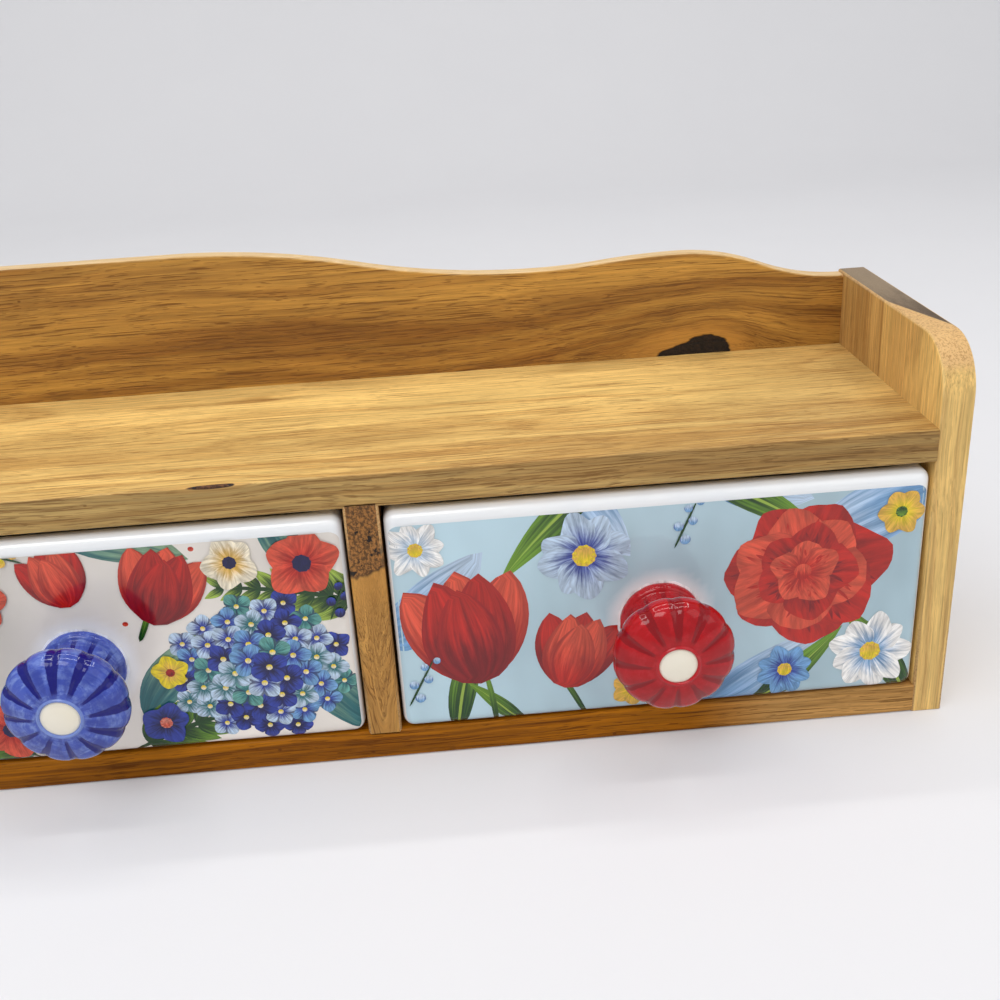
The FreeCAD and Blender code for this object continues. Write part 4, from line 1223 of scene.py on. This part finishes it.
def paint_ground(art, width, tall, tone, knob_axis):
    """A sheet of the ground's colour over the whole face, which turns into a painted white
    reflection round the knob's foot.
    """
    verts = bmesh.ops.create_grid(art.bm, x_segments=76, y_segments=36, size=1.0)["verts"]
    places = [(vert.co.x * 0.14, 0.5 + vert.co.y * 0.12) for vert in verts]
    for vert in verts:
        vert.co = (vert.co.x * width / 2, 0.0, tall / 2 + vert.co.y * tall / 2)
    soft = tuple(0.93 * part for part in tone[:3]) + (1.0,)
    art.tint(verts, places, (tone, soft, tone))
    # painted reflection: round the knob's foot the ground's tones turn towards white
    for vert in verts:
        gap = math.hypot(vert.co.x, vert.co.z - knob_axis)
        bare = 0.85 * min(max((REFLECTION_RADIUS - gap) / REFLECTION_WIDTH, 0.0), 1.0)
        for layer in art.tones:
            vert[layer] = Vector(vert[layer]).lerp(Vector(HALO), bare)


def trim_painting(bm, left, right, foot, top):
    """Trims a painting to a rounded rectangle."""
    for point, outward in (
        ((left, 0, 0), (-1, 0, 0)), ((right, 0, 0), (1, 0, 0)),
        ((0, 0, foot), (0, 0, -1)), ((0, 0, top), (0, 0, 1)),
    ):
        cut(bm, point, outward, clear_outer=True)
    for cx, sx in ((left + PAINTING_CORNER, -1), (right - PAINTING_CORNER, 1)):
        for cz, sz in ((foot + PAINTING_CORNER, -1), (top - PAINTING_CORNER, 1)):
            for degrees in (15, 30, 45, 60, 75):
                a = math.radians(degrees)
                way = (sx * math.cos(a), 0, sz * math.sin(a))
                point = (cx + way[0] * PAINTING_CORNER, 0, cz + way[2] * PAINTING_CORNER)
                cut(bm, point, way, clear_outer=True)


def bend_painting(bm, width, tall, corner, low, centre):
    """Bends a painting to the face's rounded edges and puts it in its place, in metres."""
    for k in range(5):
        for side in (1, -1):
            cut(bm, (side * (width / 2 - corner + 0.5 * k), 0, 0), (1, 0, 0))
        cut(bm, (0, 0, corner - 0.5 * k), (0, 0, 1))
        cut(bm, (0, 0, tall - corner + 0.5 * k), (0, 0, 1))
    for vert in bm.verts:
        x, z = vert.co.x, vert.co.z
        past = max(abs(x) - (width / 2 - corner), 0.0), max(corner - z, z - (tall - corner), 0.0)
        reach = min(math.hypot(*past), corner * 0.98)
        sag = corner - math.sqrt(corner * corner - reach * reach)
        lift = PAINTING_LIFT + vert.co.y
        vert.co = (centre + x * MM, low[1] + (sag - lift) * MM, low[2] + z * MM)
    bmesh.ops.triangulate(bm, faces=[f for f in bm.faces if len(f.verts) > 4])
    bmesh.ops.dissolve_degenerate(bm, edges=bm.edges, dist=1e-7)
    bm.normal_update()
    folded = [f for f in bm.faces if f.normal.y > 0]
    bmesh.ops.delete(bm, geom=folded, context="FACES")


class PaintDrawers(bpy.types.Operator):
    """The flowers painted on the faces of the drawers"""

    bl_idname = "cabinet.paint_drawers"
    bl_label = "Painting"

    def execute(self, context):
        glaze = context.scene.cabinet_glaze
        material = painted_glaze()
        side, top = glaze.margin / MM, glaze.top_margin / MM
        for seed, name in enumerate(PLACES, start=3):
            low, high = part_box(f"drawer_{name}")
            width, tall = (high[0] - low[0]) / MM, (high[2] - low[2]) / MM
            knob_low, knob_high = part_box(f"knob_{name}")
            knob_axis = ((knob_low[2] + knob_high[2]) / 2 - low[2]) / MM
            art = Painting(seed)
            paint_ground(art, width, tall, tuple(getattr(glaze, f"{name}_ground")), knob_axis)
            PAINTERS[name](art)
            art.dot(0, knob_axis, HALO_RADIUS, (HALO, HALO))
            trim_painting(art.bm, -width / 2 + side, width / 2 - side, side, tall - top)
            centre = (low[0] + high[0]) / 2
            bend_painting(art.bm, width, tall, glaze.corner / MM, low, centre)
            made = add_object(art.bm, f"{name}_painting", material)
            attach(made, f"{name}_drawer")
        return {"FINISHED"}


# radius at which the knob's head is widest, in metres, for which the creases' depth is given
RIM_RADIUS = 0.0173
# radii in millimetres: the creases fade out from CREASE_END + CREASE_FADE to CREASE_END, and
# the ring ends at RING_RADIUS
CREASE_END, CREASE_FADE, RING_RADIUS = 6.6, 3.0, 6.45
# heights in metres: creases are faint at FOOT_TOP and full from WAIST_LEVEL; from FACE_LEVEL
# they also sink the face, and RING_LEVEL keeps the foot out of the ring's mask
FOOT_TOP, WAIST_LEVEL, RING_LEVEL, FACE_LEVEL = 0.004, 0.009, 0.02, 0.0215


def flute(bm, flutes, depth):
    """Creases a spun knob along its height, and marks creases, ring and places on its skin.
    depth is a share of the radius."""
    layers = bm.verts.layers
    crease, along = layers.float.new("crease"), layers.float.get("profile")
    ring, around = layers.float.new("ring"), layers.float_vector.new("round")
    for vert in bm.verts:
        radius = math.hypot(vert.co.x, vert.co.y)
        if radius < 1e-6:
            continue
        angle = math.atan2(vert.co.y, vert.co.x)
        lobe = abs(math.sin(angle * flutes / 2))
        share = min(max((radius / MM - CREASE_END) / CREASE_FADE, 0.0), 1.0)
        if vert.co.z <= WAIST_LEVEL:
            share *= 0.3 + 0.7 * max(vert.co.z - FOOT_TOP, 0) / (WAIST_LEVEL - FOOT_TOP)
        drop = depth * (1 - lobe) ** 1.5 * share * 1.15
        vert[crease] = (1 - lobe) ** 1.3
        vert[around] = (math.cos(angle), math.sin(angle), vert[along] * 2)
        vert[ring] = 1.0 if radius / MM < RING_RADIUS and vert.co.z > RING_LEVEL else 0.0
        vert.co.x *= 1 - drop
        vert.co.y *= 1 - drop
        if vert.co.z > FACE_LEVEL and share > 0:
            vert.co.z -= drop * 0.009


class MakeKnobs(bpy.types.Operator):
    """The three fluted knobs with their cream buttons"""

    bl_idname = "cabinet.make_knobs"
    bl_label = "Knobs"

    def execute(self, context):
        knobs = context.scene.cabinet_knobs
        profile = knob_profile()
        lengths = [0.0]
        for before, after in zip(profile, profile[1:]):
            lengths.append(lengths[-1] + math.dist(before, after))
        cream = button_glaze()
        for name in PLACES:
            low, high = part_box(f"knob_{name}")
            centre = Vector(((low[0] + high[0]) / 2, high[1], (low[2] + high[2]) / 2))
            bm = bmesh.new()
            along = bm.verts.layers.float.new("profile")
            verts = []
            for (radius, height), length_here in zip(profile, lengths):
                vert = bm.verts.new((radius * MM, 0, height * MM))
                vert[along] = length_here / lengths[-2]
                verts.append(vert)
            edges = [bm.edges.new(pair) for pair in zip(verts, verts[1:])]
            bmesh.ops.spin(bm, geom=verts + edges, cent=(0, 0, 0), axis=(0, 0, 1), dvec=(0, 0, 0),
                           angle=2 * math.pi, steps=knobs.flutes * 16, use_merge=True)
            bmesh.ops.remove_doubles(bm, verts=bm.verts, dist=1e-7)
            flute(bm, knobs.flutes, knobs.flute_depth / RIM_RADIUS)
            stand_out(bm, centre)
            tones = [getattr(knobs, f"{name}_{part}") for part in ("glaze", "pale", "stroke")]
            body, slot = f"{name}_drawer", f"knob_glaze_{name}"
            piece(bm, f"{name}_knob_body", body, f"knob_{name}", knob_glaze(name, *tones))

            bm = bmesh.new()
            bmesh.ops.create_uvsphere(bm, u_segments=48, v_segments=24, radius=BUTTON_RADIUS * MM)
            bmesh.ops.scale(bm, vec=(1, 1, BUTTON_FLATNESS), verts=bm.verts)
            stand_out(bm, centre + Vector((0, -BUTTON_HEIGHT * MM, 0)))
            piece(bm, f"{name}_knob_button", body, None, cream)
        return {"FINISHED"}


class FinishFittings(bpy.types.Operator):
    """Metal and rubber for the screws, nuts, washers and brads"""

    bl_idname = "cabinet.finish_fittings"
    bl_label = "Fittings"

    def execute(self, context):
        steel = metal("screw_bright_steel", srgb(196, 198, 200), srgb(150, 150, 148), 0.24)
        brad = metal("brad_dull_steel", srgb(150, 148, 144), srgb(104, 98, 90), 0.36)
        brass = metal("nut_drawn_brass", srgb(214, 180, 104), srgb(168, 128, 62), 0.28)
        black = rubber()
        finishes = [("back_brads", brad)]
        for name in PLACES:
            for part, material in (("nut", brass), ("washer", black), ("screw", steel)):
                finishes.append((f"knob_{part}_{name}", material))
        for node, material in finishes:
            for material_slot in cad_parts[node].material_slots:
                material_slot.material = material
        return {"FINISHED"}


# the sweep, in metres: half its width and how far its floor comes forward, the radius of its
# bend, where the bend starts behind the cabinet, and the height of the wall above the bend
FLOOR_REACH, SWEEP_BEND, BEND_START, WALL_HEIGHT = 7.0, 0.5, 0.9, 2.5
# the shares of the sweep's rows that end the floor and the bend
FLOOR_END, BEND_END = 0.5, 0.9
# the lamp above is a frame of four strips, so glaze shows its outline
FRAME_CENTRE, FRAME_WIDE, FRAME_DEEP, FRAME_STRIP = (0.1, 0.1, 1.15), 1.2, 0.6, 0.04
LAMP_TARGET = Vector((0.08, -0.02, 0.06))
CAMERA_PLACE = (0.109515, -0.346646, 0.218048)
# yaw, pitch and roll in degrees, and the lens in millimetres
CAMERA_TURN = (2.552, 24.127, -3.482)
CAMERA_LENS = 42.588


def sweep_material(stage):
    """Matt paper, faintly mottled, that glows a little to the camera and in reflections."""
    material, t, shader = new_material("studio_paper")
    place = t.node("ShaderNodeTexCoord").outputs["Object"]
    dim = t.tinted(stage.floor, 0.96, 0.96, 0.965)
    t.feed(shader["Base Color"], t.mix(t.noise(place, 9.0, 4.0), stage.floor, dim))
    shader["Roughness"].default_value = 0.8
    rays = t.node("ShaderNodeLightPath").outputs
    seen = t.math("MAXIMUM", rays["Is Camera Ray"], rays["Is Glossy Ray"])
    t.feed(shader["Emission Color"], stage.floor)
    t.feed(shader["Emission Strength"], t.times(seen, 0.2))
    return material


def make_sweep(stage):
    """A floor that bends up into a backdrop."""
    bm = bmesh.new()
    verts = bmesh.ops.create_grid(bm, x_segments=1, y_segments=40, size=1.0)["verts"]
    for vert in verts:
        share = (vert.co.y + 1) / 2
        if share < FLOOR_END:
            y, z = -FLOOR_REACH + share / FLOOR_END * (BEND_START + FLOOR_REACH), 0.0
        elif share < BEND_END:
            a = (share - FLOOR_END) / (BEND_END - FLOOR_END) * math.pi / 2
            y, z = BEND_START + SWEEP_BEND * math.sin(a), SWEEP_BEND * (1 - math.cos(a))
        else:
            up = (share - BEND_END) / (1 - BEND_END) * WALL_HEIGHT
            y, z = BEND_START + SWEEP_BEND, SWEEP_BEND + up
        vert.co = (vert.co.x * FLOOR_REACH, y, z - 0.2 * MM)
    add_object(bm, "studio_sweep", sweep_material(stage))


def add_lamps(stage):
    x, y, z = FRAME_CENTRE
    share = stage.top / (2 * (FRAME_WIDE + FRAME_DEEP))
    across, along = (FRAME_WIDE, FRAME_STRIP), (FRAME_STRIP, FRAME_DEEP)
    for name, spot, size, energy in (
        ("key_lamp", (-0.25, -0.75, 1.05), (0.7, 0.5), stage.key),
        ("fill_lamp", (0.9, -0.7, 0.7), (0.8, 0.8), stage.fill),
        ("top_lamp_front", (x, y - FRAME_DEEP / 2, z), across, share * FRAME_WIDE),
        ("top_lamp_back", (x, y + FRAME_DEEP / 2, z), across, share * FRAME_WIDE),
        ("top_lamp_left", (x - FRAME_WIDE / 2, y, z), along, share * FRAME_DEEP),
        ("top_lamp_right", (x + FRAME_WIDE / 2, y, z), along, share * FRAME_DEEP),
    ):
        lamp = bpy.data.lights.new(name, "AREA")
        lamp.shape = "RECTANGLE"
        lamp.size, lamp.size_y = size
        lamp.energy = energy
        holder = bpy.data.objects.new(name, lamp)
        holder.location = spot
        if not name.startswith("top"):
            aim = LAMP_TARGET - Vector(spot)
            holder.rotation_euler = aim.to_track_quat("-Z", "Y").to_euler()
        bpy.context.scene.collection.objects.link(holder)


def add_camera(scene):
    camera = bpy.data.cameras.new("camera")
    camera.sensor_width = 36.0
    camera.sensor_fit = "HORIZONTAL"
    camera.lens = CAMERA_LENS
    camera.clip_start = 0.01
    holder = bpy.data.objects.new("camera", camera)
    yaw, pitch, roll = (math.radians(a) for a in CAMERA_TURN)
    ahead = math.cos(pitch)
    forward = Vector((math.sin(yaw) * ahead, math.cos(yaw) * ahead, -math.sin(pitch)))
    level_right = Vector((math.cos(yaw), -math.sin(yaw), 0))
    level_up = level_right.cross(forward)
    right = level_right * math.cos(roll) + level_up * math.sin(roll)
    up = level_up * math.cos(roll) - level_right * math.sin(roll)
    turn = Matrix((right, up, -forward)).transposed().to_4x4()
    holder.matrix_world = Matrix.Translation(CAMERA_PLACE) @ turn
    scene.collection.objects.link(holder)
    scene.camera = holder


class SetStage(bpy.types.Operator):
    """The pale floor and backdrop, the lamps and the camera"""

    bl_idname = "cabinet.set_stage"
    bl_label = "Stage"

    def execute(self, context):
        scene = context.scene
        stage = scene.cabinet_stage
        make_sweep(stage)
        world = bpy.data.worlds.new("studio_light")
        scene.world = world
        world.use_nodes = True
        world.node_tree.nodes.clear()
        w = Tree(world.node_tree)
        back = w.node("ShaderNodeBackground", (srgb(244, 246, 250), stage.sky))
        w.node("ShaderNodeOutputWorld", (back.outputs[0],))
        add_lamps(stage)
        add_camera(scene)
        scene.view_settings.view_transform = "Standard"
        return {"FINISHED"}


STEPS = (
    SetStage, MakeLevelBoards, MakeDividers, MakeSidePanels, MakeBackBoard, MakeDrawers,
    PaintDrawers, MakeKnobs, FinishFittings,
)


class CabinetPanel(bpy.types.Panel):
    bl_idname = "VIEW3D_PT_cabinet"
    bl_label = "Spice Cabinet"
    bl_space_type = "VIEW_3D"
    bl_region_type = "UI"
    bl_category = "Cabinet"

    def draw(self, context):
        for step in STEPS:
            self.layout.operator(step.bl_idname)
        for name in GROUPS_OF_VALUES:
            values = getattr(context.scene, name)
            box = self.layout.box()
            for key in values.__annotations__:
                box.prop(values, key)


GROUPS_OF_VALUES = {
    "cabinet_wood": CabinetWood,
    "cabinet_glaze": CabinetGlaze,
    "cabinet_knobs": CabinetKnobs,
    "cabinet_stage": CabinetStage,
}


def register():
    for kind in (*GROUPS_OF_VALUES.values(), *STEPS, CabinetPanel):
        bpy.utils.register_class(kind)
    for name, kind in GROUPS_OF_VALUES.items():
        setattr(bpy.types.Scene, name, bpy.props.PointerProperty(type=kind))


def unregister():
    for name in GROUPS_OF_VALUES:
        delattr(bpy.types.Scene, name)
    for kind in reversed((*GROUPS_OF_VALUES.values(), *STEPS, CabinetPanel)):
        bpy.utils.unregister_class(kind)


def main():
    register()
    for step in STEPS:
        family, name = step.bl_idname.split(".")
        getattr(getattr(bpy.ops, family), name)()


if __name__ == "__main__":
    main()
